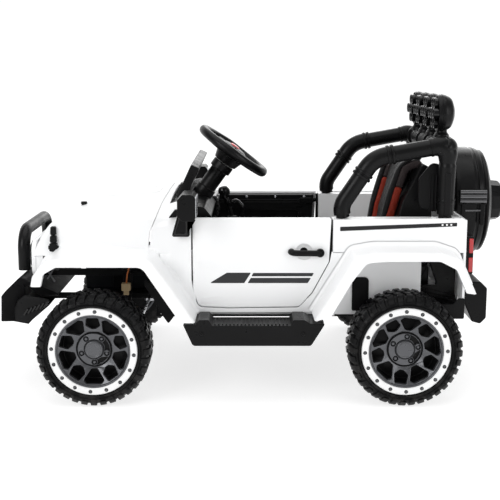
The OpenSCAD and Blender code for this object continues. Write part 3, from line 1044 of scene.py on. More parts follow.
@dataclass
class Wheel:
    """One toy wheel: treaded tyre, dished ten-window rim, white clamp ring and its bolts."""

    place: str
    side: int
    rim_r: float = 76.0
    ring_r: float = 91.0
    tread_r: float = 112.0
    lug_height: float = 4.2
    lugs: int = 36
    bolts: int = 16
    bolt_circle: float = 83.5
    first_bolt: float = 4.4
    windows: int = 5
    cap_r: float = 19.4
    nut_circle: float = 27.0
    dish: float = 19.0
    rear_turn: float = 28.0
    turned_by: float = field(init=False)
    middle: Vector = field(init=False)
    outer: float = field(init=False)
    inner: float = field(init=False)

    def __post_init__(self) -> None:
        """Reads the wheel's place from its tyre."""
        low, high = span("tyre_" + self.place)
        self.middle = Vector(((low.x + high.x) / 2, 0, (low.z + high.z) / 2))
        self.outer = max(abs(low.y), abs(high.y))
        self.inner = min(abs(low.y), abs(high.y))
        self.turned_by = self.rear_turn if self.place.startswith("rear") else 0.0

    def _set(self, name: str, form: Form, finish: Finish, edges: Edges, node: str = "") -> None:
        """Moves a form from the wheel's own middle to its place and makes it a piece.

        Args:
            name: the piece's first name.
            form: the form, round the Y axis, for the left side.
            finish: its finish.
            edges: how its edges are softened.
            node: the first name of the CAD node that it stands for.
        """
        spin = Matrix.Rotation(-math.radians(self.turned_by), 4, "Y")
        placed_form = form.moved(Matrix.Translation(self.middle) @ spin).on_side(self.side)
        stands_for = [f"{node}_{self.place}"] if node else []
        piece(f"{name}_{self.place}", placed_form, finish, edges, f"wheel_{self.place}_body", stands_for)

    def _spun(self, profile: Sequence[Point], closed: bool = True, steps: int = 96) -> Form:
        """Turns a profile of radius and distance from the car's middle round the axle."""
        return Form().revolve(profile, (0, 0, 0), -ACROSS, steps, closed)

    def _lug(self, reach: float, slant: float, flip: bool = False) -> Form:
        """One shoulder lug, from the tread over the shoulder and down the sidewall.

        Args:
            reach: the radius at which it ends on the sidewall.
            slant: how far its tread end is shifted round the tyre.
            flip: whether it is the one on the inner shoulder.

        Returns:
            The lug, at the top of the tyre.
        """
        top = self.tread_r + self.lug_height
        out, half = self.outer, (self.outer + self.inner) / 2
        line = [(out - 25, top - 0.6, 12.5), (out - 13, top, 12.5), (out - 4, top - 4.5, 11.5),
            (out + 1.6, 104.5, 10.5), (out + 1.2, reach, 9.0)]
        loops = []
        for place, radius, width in line:
            shift = slant * (out - place) / 25
            depth = 6.5
            inward = max(0.0, (place - (out - 6)) / 6)
            root = (place - depth * inward, radius - depth * (1 - 0.6 * inward))
            if flip:
                place, root = 2 * half - place, (2 * half - root[0], root[1])
            loops.append([(shift - width / 2, -place, radius), (shift + width / 2, -place, radius),
                (shift + width / 2 + 1.5, -root[0], root[1]), (shift - width / 2 - 1.5, -root[0], root[1])])
        return Form().loft(loops)

    def _block(self, offset: float, slant: float) -> Form:
        """One block of the middle tread.

        Args:
            offset: its distance from the tread's middle, across the tyre.
            slant: how far one end is shifted round the tyre.

        Returns:
            The block, at the top of the tyre.
        """
        top, half = self.tread_r + self.lug_height, (self.outer + self.inner) / 2
        loops = []
        for share in (-1, 1):
            out = half + offset + 7.5 * share
            loops.append([(slant * share - 6, -out, top), (slant * share + 6, -out, top),
                (slant * share + 7, -out, self.tread_r - 3), (slant * share - 7, -out, self.tread_r - 3)])
        return Form().loft(loops)

    def tyre(self) -> None:
        """Makes the carcass, its sidewall ribs and its lugs."""
        inner, outer, tread = self.inner, self.outer, self.tread_r
        carcass = self._spun(rounded([(self.rim_r, inner + 3, 1), (88, inner, 4), (101, inner, 6),
            (109, inner + 6, 5), (tread, inner + 16, 6), (tread, outer - 16, 6), (108.5, outer - 5, 6),
            (101, outer - 0.6, 5), (94, outer - 2.5, 2), (self.ring_r, outer - 8, 1),
            (self.rim_r, outer - 9, 1)]))
        for radius in (96.5, 99.0):
            carcass.join(self._spun([(radius - 0.7, outer - 3), (radius, outer + 0.4),
                (radius + 0.7, outer - 3)]))
        soft = Edges(bevel=1.1, segments=2)
        pairs = self.lugs // 2
        turn = 360 / self.lugs
        for flip in (False, True):
            carcass.join(turned(self._lug(99.0, 3.0, flip), pairs, 0, soft))
            carcass.join(turned(self._lug(104.0, 3.0, flip), pairs, turn, soft))
        for offset, start in ((-9.5, turn / 2), (9.5, 0.0)):
            carcass.join(turned(self._block(offset, 2.5), self.lugs, start, soft))
        self._set("tyre_rubber", carcass, Finish.TYRE_BLACK, Edges(sharp=32), "tyre")

    def ring(self) -> None:
        """Makes the white clamp ring, its sunken bolt seats and its bolts."""
        face, rim, ring = self.outer - 2.6, self.rim_r, self.ring_r
        band = self._spun(rounded([(rim + 0.2, face - 8, 0.5), (ring - 0.3, face - 8, 0.5),
            (ring - 0.5, face - 1, 1.5), (ring - 2.5, face, 1.5), (rim + 2.2, face, 1.5),
            (rim + 0.2, face - 1.5, 1.2)], steps=4), steps=128)
        self._set("clamp_ring", band, Finish.WHITE_RING, SOFT, "ring")
        cup = Form().revolve([(2.5, 0.2), (2.7, 0.7), (3.5, 0.75), (3.9, 0.2), (3.9, -1.5), (2.5, -1.5)],
            (0, -face, self.bolt_circle), -ACROSS, 16, True)
        self._set("bolt_cups", turned(cup, self.bolts, self.first_bolt), Finish.BLACK_TRIM, SOFT)
        head = Form().revolve([(0, 0.9), (1.7, 0.8), (2.6, 0.1), (2.6, -1), (0, -1)],
            (0, -face, self.bolt_circle), -ACROSS, 6)
        self._set("bolts", turned(head, self.bolts, self.first_bolt), Finish.RIM_GREY, Edges(sharp=40))

    def _spoke_plate(self) -> Form:
        """The rim's face, cut by five shield windows and five fan windows and dished."""
        shield = [(-12, 69, 3), (12, 69, 3), (14.8, 51, 4), (4, 43.2, 5), (-4, 43.2, 5), (-14.8, 51, 4)]
        fan = [(-15, 69, 3), (15, 69, 3), (21.5, 61.5, 3.5), (6, 40, 4), (-6, 40, 4), (-21.5, 61.5, 3.5)]
        rim_edge = circle(72.5, 120)
        hub_edge = circle(36.4, 72)
        holes = [hub_edge]
        for index in range(self.windows):
            for outline, start in ((shield, 0.0), (fan, 180.0)):
                angle = math.radians(start + 360 / self.windows * index)
                turn = Matrix.Rotation(angle, 2)
                holes.append([turn @ point for point in rounded(outline, steps=3)])
        flat = plate(rim_edge, holes, 9.0, 1.3)
        low = self.outer - 25 - 9.0

        def dished(p: Vector) -> Point:
            """Lifts a point by its distance from the axle."""
            share = min(1.0, max(0.0, (math.hypot(p.x, p.y) - 36) / 36))
            return p.x, -(low + p.z + self.dish * share), p.y

        return flat.shaped(dished)

    def rim(self) -> None:
        """Makes the rim's face, its lip and barrel, its hub, its nuts and what shows behind its windows."""
        outer, rim = self.outer, self.rim_r
        face = outer - 25
        barrel = self._spun(rounded([(71.6, face + 8, 1), (72, outer - 8, 1.5), (73, outer - 4.6, 1.5),
            (rim - 0.2, outer - 4.4, 0.4), (rim - 0.2, self.inner + 4, 0.4), (71.5, self.inner + 4, 0.4),
            (69, self.inner + 30, 4), (71.6, face - 8, 2)], steps=4))
        annulus = plate(circle(33.4, 96), [circle(20.6, 60)] + [self._nut_hole(i)
            for i in range(self.windows)], 6.0, 0.9).shaped(lambda p: (p.x, -(face - 3.4 + p.z), p.y))
        cap = self._spun(rounded([(0, face + 6.6, 0), (14.2, face + 6.2, 1), (14.9, face + 6.9, 0.5),
            (self.cap_r - 2.2, face + 6.6, 2), (self.cap_r, face + 3.5, 1.5), (self.cap_r, face - 6, 0),
            (0, face - 6, 0)], steps=4), closed=False)
        self._set("rim_face", self._spoke_plate().join(barrel, annulus, cap), Finish.RIM_GREY,
            Edges(sharp=42), "rim")
        well = self._spun(rounded([(0, face - 3.5, 0), (36.2, face - 3.5, 1), (37.5, face - 12, 2),
            (67, face - 17, 2), (70.3, face + 10, 0), (71.5, face + 10, 0), (71.5, face - 20, 1),
            (34, face - 15, 2), (10, self.inner + 24, 0)], steps=3), closed=False)
        self._set("rim_well", well, Finish.BLACK_TRIM, Edges(sharp=40))
        nut = Form().revolve([(0, 3.4), (2.4, 3.2), (3.9, 1.6), (4.2, -3), (0, -3)],
            (0, -face, -self.nut_circle), -ACROSS, 6)
        self._set("nuts", turned(nut, self.windows, 0), Finish.RIM_GREY, Edges(bevel=0.3, segments=2))

    def _nut_hole(self, index: int) -> list[Point]:
        """The outline of one nut's recess in the hub."""
        angle = math.radians(-90 + 360 / self.windows * index)
        middle = Vector((math.cos(angle), math.sin(angle))) * self.nut_circle
        return [middle + Vector((math.cos(a), math.sin(a))) * 5.6
            for a in (math.tau * i / 20 for i in range(20))]

    def build(self) -> None:
        """Makes the whole wheel."""
        self.tyre()
        self.ring()
        self.rim()


@dataclass
class Studio:
    """Pale floor, soft light from all round, and the camera at the car's left."""

    distance: float = 2.290
    height: float = 0.677
    along: float = -0.026
    tilt: float = 10.2
    focal: float = 1001 / 500 * 36
    shift: float = 0.002
    glow: float = 0.75
    room: float = 0.35

    def floor(self) -> None:
        """Makes a wide pale floor that curves up into a back wall."""
        line = rounded([(-6000, 0, 0), (5000, 0, 2500), (5000, 7000, 0)], closed=False, steps=24)
        rows = [[(x, p.x, p.y) for p in line] for x in (-9000, 9000)]
        floor = placed("floor", Form().loft(rows, closed=False, ends=False).mesh("floor"))
        smoothed(floor.data, 60)
        tree = Shading("floor_paint")
        tone = tree.mixed(tree.noise(1.4), rgba((0.42, 0.42, 0.42)), rgba((0.45, 0.45, 0.45)))
        rough = tree.noise(3.0).clamped(0.3, 0.7, 0.75, 0.85)
        glow = {"Emission Color": (1, 1, 1, 1), "Emission Strength": self.glow, "Specular IOR Level": 0.1}
        floor.data.materials.append(tree.finished({"Base Color": tone, "Roughness": rough, **glow}))

    def lights(self) -> None:
        """Hangs the soft boxes and lights the room's white walls."""
        boxes = {"overhead": ((-0.1, -0.2, 2.6), (0.0, 0.0, 0.2), 2.6, 34.0),
            "key": ((-2.2, -2.6, 1.7), (0.0, 0.0, 0.3), 1.8, 48.0),
            "fill": ((2.4, -2.2, 1.2), (0.0, 0.0, 0.3), 1.8, 30.0),
            "back": ((0.6, 2.6, 1.8), (0.0, 0.0, 0.3), 2.0, 22.0)}
        for name, (place, target, size, watts) in boxes.items():
            lamp = bpy.data.lights.new(name, "AREA")
            lamp.shape = "SQUARE"
            lamp.size = size
            lamp.energy = watts
            holder = bpy.data.objects.new(name, lamp)
            holder.location = place
            holder.rotation_euler = (Vector(target) - Vector(place)).to_track_quat("-Z", "Y").to_euler()
            bpy.context.scene.collection.objects.link(holder)
        world = bpy.data.worlds.new("white_room")
        world.use_nodes = True
        world.node_tree.nodes["Background"].inputs["Color"].default_value = (1, 1, 1, 1)
        world.node_tree.nodes["Background"].inputs["Strength"].default_value = self.room
        bpy.context.scene.world = world
        bpy.context.scene.view_settings.view_transform = "Standard"

    def camera(self) -> None:
        """Stands the camera at the car's left, looking a little down."""
        lens = bpy.data.cameras.new("camera")
        lens.lens = self.focal
        lens.sensor_width = 36
        lens.shift_x = self.shift
        lens.clip_end = 60
        holder = bpy.data.objects.new("camera", lens)
        holder.location = (self.along, -self.distance, self.height)
        holder.rotation_euler = (math.radians(90 - self.tilt), 0, 0)
        bpy.context.scene.collection.objects.link(holder)
        bpy.context.scene.camera = holder

    def build(self) -> None:
        """Sets up the whole studio."""
        self.floor()
        self.lights()
        self.camera()


# ---- white shell -------------------------------------------------------------------------


def between(share: float, first: float, second: float) -> float:
    """The value a share of the way from first to second."""
    return first + (second - first) * share


def steps_to(count: int) -> list[float]:
    """Shares from 0 to 1 in count steps."""
    return [i / count for i in range(count + 1)]


@dataclass
class Bonnet:
    """Hood and cowl, lofted through cross sections, with the slanted seam between them."""

    crown: float = 6.0
    skin: float = 4.0
    seam_lean: float = 0.42
    foot: float = 286.0
    seam_top: Vector = field(init=False)
    door_edge: float = field(init=False)
    cowl_half: float = field(init=False)
    stations: list[Point] = field(init=False)

    def __post_init__(self) -> None:
        """Works out the sections from the hood's and the cowl's boxes."""
        low, high = span("hood")
        cowl_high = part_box("cowl")[1] / MM
        self.seam_top = Vector((high.x, high.y - 2, high.z))
        self.door_edge = cowl_high.x
        self.cowl_half = cowl_high.y
        rear, half, top, nose = high.x, high.y - 2, high.z, low.x
        # place, half width, height in the middle, radius of the shoulder
        self.stations = [(rear, half, top, 36), (rear - 60, half - 7.5, top - 4.5, 36),
            (rear - 120, half - 16, top - 10, 35), (rear - 165, half - 22.5, top - 15.5, 33),
            (rear - 197, half - 28, top - 23, 31), (rear - 226, half - 32.5, top - 37, 28),
            (rear - 247, half - 36, top - 54, 24), (rear - 262, half - 38.5, top - 75, 19),
            (rear - 272, half - 39.5, top - 94, 14), (nose, half - 40, top - 110, 8)]

    def half_at(self, x: float) -> float:
        """The hood's or the cowl's half width low down, at a place along the car."""
        rear = self.stations[0][0]
        if x > rear:
            return between(min(1.0, (x - rear) / 30), self.seam_top.y + 2, self.cowl_half)
        for behind, ahead in zip(self.stations, self.stations[1:]):
            if ahead[0] <= x <= behind[0]:
                return between((behind[0] - x) / (behind[0] - ahead[0]), behind[1], ahead[1]) + 2
        return self.stations[-1][1] + 2

    def _section(self, x: float, corners: Sequence[Point], top: float, crown: float) -> list[Vector]:
        """One cross section.

        Args:
            x: its place.
            corners: the left half's corners from the foot up, in half width, height and radius.
            top: the height in the middle.
            crown: how much the top falls from the middle to the shoulder.

        Returns:
            The section's points from the left foot over the top to the right foot.
        """
        side = rounded([*corners, (0, corners[-1][1], 0)], closed=False)[:-1]
        edge = side[-1].x
        over = [Vector((edge * (1 - s), top - crown * (1 - s) ** 2)) for s in steps_to(7)[1:]]
        half = [(-p.x, p.y) for p in side + over]
        other = [(-y, z) for y, z in reversed(half[:-1])]
        return [Vector((x, y, z)) for y, z in half + other]

    def _lean(self, section: list[Vector], share: float) -> list[Vector]:
        """Leans a section forward towards its foot, by a share of the seam's lean."""
        top = self.seam_top.z
        return [Vector((p.x - share * self.seam_lean * min(top - p.z, 80), p.y, p.z)) for p in section]

    def hood(self) -> None:
        """Makes the hood's skin and its raised line."""
        places = spline_rows(self.stations, 5)
        rear = self.stations[0][0]
        loops = []
        for x, half, top, shoulder in places:
            crown = self.crown * min(1.0, (x - self.stations[-1][0]) / 60)
            corners = [(half + 2, self.foot, 0), (half + 0.4, between(0.7, self.foot,
                top - crown - shoulder), 4), (half, top - crown, shoulder)]
            share = max(0.0, (x - (rear - 120)) / 120)
            loops.append(self._lean(self._section(x, corners, top, crown), share))
        loops[0] = [p + FORWARD * 1.2 for p in loops[0]]
        form = Form().loft(loops, closed=False, ends=False)
        count = len(loops[0])
        front = [Vector((p.x - 0.5, p.y * 0.985, p.z - 1.5)) for p in loops[-1]]
        form.add([*loops[-1], *front], [(i, i + 1, count + i + 1, count + i) for i in range(count - 1)])
        piece("hood_skin", form, Finish.WHITE_SHELL, Edges(bevel=0.8, segments=2, skin=self.skin),
            stands_for=["hood"])
        self._raised_line(rear)

    def _top_at(self, x: float) -> float:
        """The hood's height in the middle at a place."""
        for behind, ahead in zip(self.stations, self.stations[1:]):
            if ahead[0] <= x <= behind[0]:
                return between((behind[0] - x) / (behind[0] - ahead[0]), behind[2], ahead[2])
        return self.stations[0][2]

    def _raised_line(self, rear: float) -> None:
        """A plain rounded bead on the hood's top."""
        loop = rounded([(rear - 140, -52, 40), (rear - 140, 52, 40), (rear - 22, 66, 30),
            (rear - 22, -66, 30)], steps=10)
        path = []
        for p in loop + loop[:1]:
            drop = self.crown * (p.y / 185) ** 2
            path.append((p.x, p.y, self._top_at(p.x) - drop - 0.4))
        piece("hood_bead", Form().tube(path, 2.2, 8), Finish.WHITE_SHELL, Edges(sharp=60))

    def fittings(self) -> None:
        """Makes the rubber stud on the hood's top and the three-link side latches."""
        rear = self.stations[0][0]
        stud = Form()
        x = rear - 181
        base = self._top_at(x) - self.crown * 0.6 - 2
        stud.lathe([(0, 10, 0), (6.6, 10, 2), (7, 5, 1), (5, 3.5, 1), (8, 0, 1), (8, -2, 0), (0, -2, 0)],
            (x, -118, base), UP, 24)
        piece("hood_stud", stud, Finish.BLACK_TRIM, SOFT)
        latch = Form()
        x, face = rear - 236, self.half_at(rear - 236)
        for low, high, width, lift in ((332, 350, 13, 6.5), (316, 331, 15, 8), (297, 315, 18, 9.5)):
            outline = rounded([(x - width / 2, low, 3), (x + width / 2, low, 3),
                (x + width / 2 - 1, high, 3), (x - width / 2 + 1, high, 3)], steps=3)
            latch.join(plate(outline, [], lift + 6, 1.4).moved(facing_side(-face + 6)))
        latch.join(Form().tube([(x, -face - 2, 331), (x, -face - 2, 316)], 5.2, 14))
        latch.join(Form().tube([(x - 11, -face - 3, 305), (x + 11, -face - 3, 305)], 4.2, 14))
        piece("hood_latches", latch.paired(), Finish.BLACK_TRIM, CRISP)

    def cowl(self) -> None:
        """Makes the cowl, from the seam to the doors, with the notch for the dashboard."""
        rear, half, top, shoulder = self.stations[0]
        edge, wide = self.door_edge, self.cowl_half
        loops = []
        for share in steps_to(10):
            soft = share * share * (3 - 2 * share)
            corners = [(between(soft, half + 2, wide), between(share, 262, 178), 0),
                (between(soft, half + 1, wide), between(share, 350, 371), 5),
                (between(soft, half + 0.5, wide - 10), between(share, 362, 381), 5),
                (between(soft, half, wide - 14), between(share, top - self.crown, top + 1),
                between(share, shoulder, 24))]
            x = between(share, rear + 0.4, edge)
            loops.append(self._lean(self._section(x, corners, top + 7 * share, self.crown), 1 - share))
        form = Form().loft(loops, closed=False, ends=False)
        notch = Form().box((-192, -206.5, 300), (edge + 20, 206.5, 500))
        piece("cowl_skin", form, Finish.WHITE_SHELL, Edges(bevel=0.8, segments=2, skin=self.skin),
            stands_for=["cowl"], cutter=notch)

    def build(self) -> None:
        """Makes the hood, its fittings and the cowl."""
        self.hood()
        self.fittings()
        self.cowl()


def spline_rows(rows: Sequence[Point], steps: int) -> list[tuple[float, ...]]:
    """Rows of numbers with more rows put between them on a smooth curve.

    Args:
        rows: the rows to pass through.
        steps: how many steps there are from one row to the next.

    Returns:
        All the rows.
    """
    made = []
    last = len(rows) - 1
    for i in range(last):
        p0, p1, p2, p3 = rows[max(i - 1, 0)], rows[i], rows[i + 1], rows[min(i + 2, last)]
        for s in steps_to(steps)[:-1]:
            made.append(tuple(0.5 * (2 * b + (c - a) * s + (2 * a - 5 * b + 4 * c - d) * s * s
                + (3 * b - a - 3 * c + d) * s**3) for a, b, c, d in zip(p0, p1, p2, p3)))
    made.append(tuple(rows[-1]))
    return made


@dataclass
class Fenders:
    """Thin flared fenders, lofted between an arch edge and a flare edge."""

    bonnet: Bonnet
    skin: float = 3.6
    fillet: float = 9.0
    edge_r: float = 9.0
    half: float = field(init=False)

    def __post_init__(self) -> None:
        """Reads the fenders' half width."""
        self.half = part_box("front_fenders")[1].y / MM

    def _flare(self, name: str, node: str, arch: Sequence[Point], flare: Sequence[Point],
            inner: Callable[[float], float]) -> None:
        """Lofts one pair of fenders.

        Args:
            name: the piece's name.
            node: the CAD node that it stands for.
            arch: the arch edge's corners in X, Z and radius, from the front.
            flare: the flare's outer corners, as many as the arch has.
            inner: the half width of the body that the fender meets, at a place along the car.
        """
        low, top = rounded(arch, closed=False), rounded(flare, closed=False)
        last = len(top) - 1
        loops = []
        for i, (bottom, high) in enumerate(zip(low, top)):
            along = (top[min(i + 1, last)] - top[max(i - 1, 0)]).normalized()
            out = Vector((-along.y, along.x))
            wall = inner(high.x)
            corners = [(*(high + out * self.fillet), -wall, 0), (*high, -wall, self.fillet * 0.9),
                (*(high - out * 1.5), -self.half, self.edge_r), (*bottom, -self.half, 1.6),
                (*bottom, -self.half + 12, 0)]
            bent = rounded([(x, y, z, r) for x, z, y, r in corners], closed=False, steps=5)
            loops.append(bent)
        form = Form().loft(loops, closed=False, ends=False).paired()
        piece(name, form, Finish.WHITE_SHELL, Edges(skin=self.skin, sharp=50), stands_for=[node])

    def build(self) -> None:
        """Makes the front and the rear fenders."""
        arch = [(-443, 250, 0), (-437, 275, 10), (-412, 289, 14), (-240, 289, 22), (-205, 236, 10),
            (-165, 176, 0)]
        flare = [(-466, 250, 0), (-462, 270, 16), (-434, 306, 26), (-222, 306, 26), (-176, 240, 16),
            (-134, 176, 0)]
        self._flare("front_fender_skin", "front_fenders", arch, flare, self.bonnet.half_at)
        arch = [(139, 187, 0), (180, 259, 12), (208, 297, 20), (245, 301, 12), (356, 301, 22),
            (389, 284, 14), (410, 237, 0)]
        flare = [(105, 180, 0), (186, 312, 16), (231, 320, 24), (300, 320, 12), (358, 320, 14),
            (400, 306, 18), (432, 235, 0)]
        self._flare("rear_fender_skin", "rear_fenders", arch, flare, lambda _: self.bonnet.cowl_half)


@dataclass
class Tub:
    """Cabin tub with its quarter panels, rockers and side stripes."""

    rocker_skin: float = 4.0
    gap_shade_x: float = 148.0
    half: float = field(init=False)

    def __post_init__(self) -> None:
        """Reads the tub's half width."""
        self.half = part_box("cabin_tub")[1].y / MM

    def rockers(self) -> None:
        """Makes the flush panels that frame each door's foot and rear edge."""
        outline = rounded([(-148, 177, 0), (-148, 262, 0), (-141.4, 218, 0), (-132.6, 188.4, 15),
            (-66, 185.4, 0), (79, 187.4, 17), (106.5, 218, 15), (141.7, 284.4, 16), (145.6, 306, 0),
            (186, 306, 0), (178, 296, 0), (107, 180, 0), (104, 177, 0)])
        panel = plate(outline, [], self.rocker_skin, 0.8).moved(facing_side(-self.half + self.rocker_skin))
        piece("rocker_panels", panel.paired(), Finish.WHITE_SHELL, CRISP)

    def stripes(self) -> None:
        """Makes the quarter panels' black stripes and their three dots."""
        stripe = Form()
        outline = rounded([(162, 349.5, 1), (403, 359.5, 1), (403, 367, 1), (162, 358.5, 1)], steps=2)
        stripe.join(plate(outline, [], 0.8, 0.2).moved(facing_side(-self.half + 0.3)))
        piece("quarter_stripes", stripe.paired(), Finish.DECAL_BLACK, Edges())
        dot = Form().revolve([(0, 0.35), (1.9, 0.35), (2.1, 0.1), (2.1, -0.4), (0, -0.4)],
            (373, -self.half - 0.5, 362.3), -ACROSS, 20)
        piece("quarter_dots", rowed(dot, 3, (9, 0, 0.2)).paired(), Finish.WHITE_RING, Edges())

    def paint_gap_shades(self) -> None:
        """Makes the black strips that close the gaps behind the doors and paint the shade in them."""
        # painted shade: black strips behind the doors' rear gaps make the gaps read dark
        strip = Form().box((self.gap_shade_x - 6, -232, 205), (self.gap_shade_x + 3, -218, 370))
        piece("door_seals", strip.paired(), Finish.BLACK_TRIM, Edges(bevel=1.5))

    def build(self) -> None:
        """Makes the tub and what is on its sides."""
        recut("cabin_tub", Finish.WHITE_SHELL, Edges(bevel=1.6))
        self.rockers()
        self.stripes()
        self.paint_gap_shades()


@dataclass
class Door:
    """One door: white skin with a handle dish, black liner, handle and plain stripes."""

    name: str
    side: int
    depth: float = 6.5
    edge: float = 1.8
    handle_x: float = 93.0
    handle_z: float = 305.0
    half: float = field(init=False)
    belt: float = field(init=False)
    front: float = field(init=False)

    def __post_init__(self) -> None:
        """Reads the door's place."""
        low, high = span("door_" + self.name)
        self.half = max(abs(low.y), abs(high.y))
        self.belt = high.z
        self.front = low.x

    def _set(self, name: str, form: Form, finish: Finish, edges: Edges, node: str = "",
            **more: object) -> None:
        """Makes one piece of the door from a form for the left side."""
        stands_for = [f"{node}_{self.name}"] if node else []
        piece(f"{name}_{self.name}", form.on_side(self.side), finish, edges, f"door_{self.name}_body",
            stands_for, **more)

    def skin(self) -> None:
        """Makes the white skin with its dish, its top ledge, its hinge roll and its moulded ribs."""
        outline = rounded([(self.front + 3.5, self.belt, 2), (self.front + 3.5, 218, 0), (-131, 190, 14),
            (-66, 187, 0), (78, 189, 16), (105, 219, 14), (140, 285, 16), (144, self.belt, 3)])
        form = plate(outline, [], self.depth, self.edge).moved(facing_side(-self.half + self.depth))
        form.box((self.front + 8, -self.half + 5, self.belt - 6), (142, -228, self.belt - 1.2))
        hinge = (self.front + 3.5, -self.half + 3.5)
        form.join(Form().tube([(*hinge, 205), (*hinge, self.belt - 3)], 3.4, 20))
        dish = Form().revolve([(19 * math.cos(a), -7 + 12 * math.sin(a)) for a in arcs(-90, 90, 12)],
            (self.handle_x - 5, -self.half - 11.2, self.handle_z + 1), -ACROSS, 40)
        cutter = dish.on_side(self.side)
        self._set("door_skin", form, Finish.WHITE_SHELL, Edges(bevel=0.5, segments=2, sharp=30), "door",
            cutter=cutter)
        ribs = Form()
        for x, z in ((-130, 282), (-127, 272), (-124, 199), (-122, 207)):
            outline = rounded([(x, z, 1), (x + 34, z + 4.2, 1), (x + 34, z + 6.4, 1), (x, z + 1.4, 1)],
                steps=2)
            ribs.join(plate(outline, [], 2.0, 0.6).moved(facing_side(-self.half + 0.9)))
        self._set("door_ribs", ribs, Finish.WHITE_SHELL, Edges(sharp=60))

    def handle(self) -> None:
        """Makes the black pull bar with its round lock."""
        x0, x1, z, face = self.handle_x - 36, self.handle_x + 28, self.handle_z, self.half
        bar = [(x0 + 3, -face - 2, z + 1.5), (x0 + 6, -face - 8, z + 1), (x0 + 14, -face - 9.5, z),
            (x1 - 10, -face - 9.5, z - 0.5), (x1, -face - 8, z - 0.5)]
        form = Form().tube(spline_rows(bar, 5), 6.3, 20)
        form.lathe([(0, 4, 0), (6.2, 4, 1.5), (6.4, 0, 0.6), (0, 0, 0)], (x0 + 5, -face, z + 2), -ACROSS, 28)
        form.lathe([(0, 12, 0), (3.2, 12, 0.8), (3.6, 9.6, 0.5), (6.2, 9.6, 0.5), (6.6, 12.2, 0.8),
            (8.4, 12.2, 1.2), (9.2, 7, 2), (8, 0, 0), (0, 0, 0)], (x1, -face, z), -ACROSS, 40)
        self._set("door_pull", form, Finish.BLACK_TRIM, SOFT, "door_handle")

    def liner(self) -> None:
        """Makes the black inner panel, its ridges, its latch and its screws."""
        made = recut(f"door_liner_{self.name}", Finish.BLACK_TRIM, Edges(bevel=1.4),
            f"door_{self.name}_body")
        made.name = f"door_liner_{self.name}_panel"
        trim = Form()
        for z in (self.belt - 20, self.belt - 26):
            trim.join(Form().tube([(-118, -206.5, z), (118, -206.5, z)], 1.6, 10))
        trim.join(Form().tube([(118, -236, 352), (151, -236, 352)], 4.5, 16))
        trim.join(side_panel([(100, 346, 4), (134, 346, 4), (134, 362, 4), (100, 362, 4)], 8, 2, -202, 3))
        self._set("door_latch", trim, Finish.BLACK_TRIM, SOFT)
        screw = Form().revolve([(0, 1.4), (2.4, 1.2), (3.3, 0.2), (3.3, -1), (0, -1)],
            (-104, -206, self.belt - 12), ACROSS, 14)
        self._set("door_screws", rowed(screw, 4, (72, 0, 0)), Finish.STEEL, SOFT)

    def stripes(self) -> None:
        """Makes the plain slanted stripes on the door."""
        form = Form()
        bars = [[(-108, 240, 1), (-36, 240, 1), (-22, 262, 1), (-72, 262, 1)],
            [(-29, 240, 1), (96, 240, 1), (103, 251, 1), (-22, 251, 1)],
            [(-21, 254.5, 1), (105, 254.5, 1), (109, 261.5, 1), (-17, 261.5, 1)]]
        for bar in bars:
            form.join(side_panel(bar, 0.8, 0.2, -self.half + 0.3, 2))
        self._set("door_stripes", form, Finish.DECAL_GREY, Edges())

    def build(self) -> None:
        """Makes the whole door."""
        self.skin()
        self.handle()
        self.liner()
        self.stripes()


def arcs(first: float, last: float, steps: int) -> list[float]:
    """Angles in radians from first to last degrees."""
    return [math.radians(between(s, first, last)) for s in steps_to(steps)]


# ---- black trim --------------------------------------------------------------------------


class Track:
    """A path that can be asked for places along it by distance."""

    def __init__(self, points: Sequence[Point]) -> None:
        """Measures the path.

        Args:
            points: its points in order.
        """
        self.points = [Vector(p) for p in points]
        self.marks = [0.0]
        for a, b in zip(self.points, self.points[1:]):
            self.marks.append(self.marks[-1] + (b - a).length)

    @property
    def length(self) -> float:
        """The path's whole length."""
        return self.marks[-1]

    def at(self, distance: float) -> Vector:
        """The point at a distance from the start."""
        for i, mark in enumerate(self.marks[1:]):
            if distance <= mark:
                share = (distance - self.marks[i]) / max(mark - self.marks[i], 1e-9)
                return self.points[i].lerp(self.points[i + 1], share)
        return self.points[-1].copy()

    def way(self, distance: float) -> Vector:
        """The direction of the path at a distance from the start."""
        return (self.at(distance + 1) - self.at(distance - 1)).normalized()

    def nearest(self, place: Point) -> float:
        """The distance at which the path passes closest to a place."""
        target = Vector(place)
        steps = [self.length * s for s in steps_to(200)]
        return min(steps, key=lambda d: (self.at(d) - target).length)


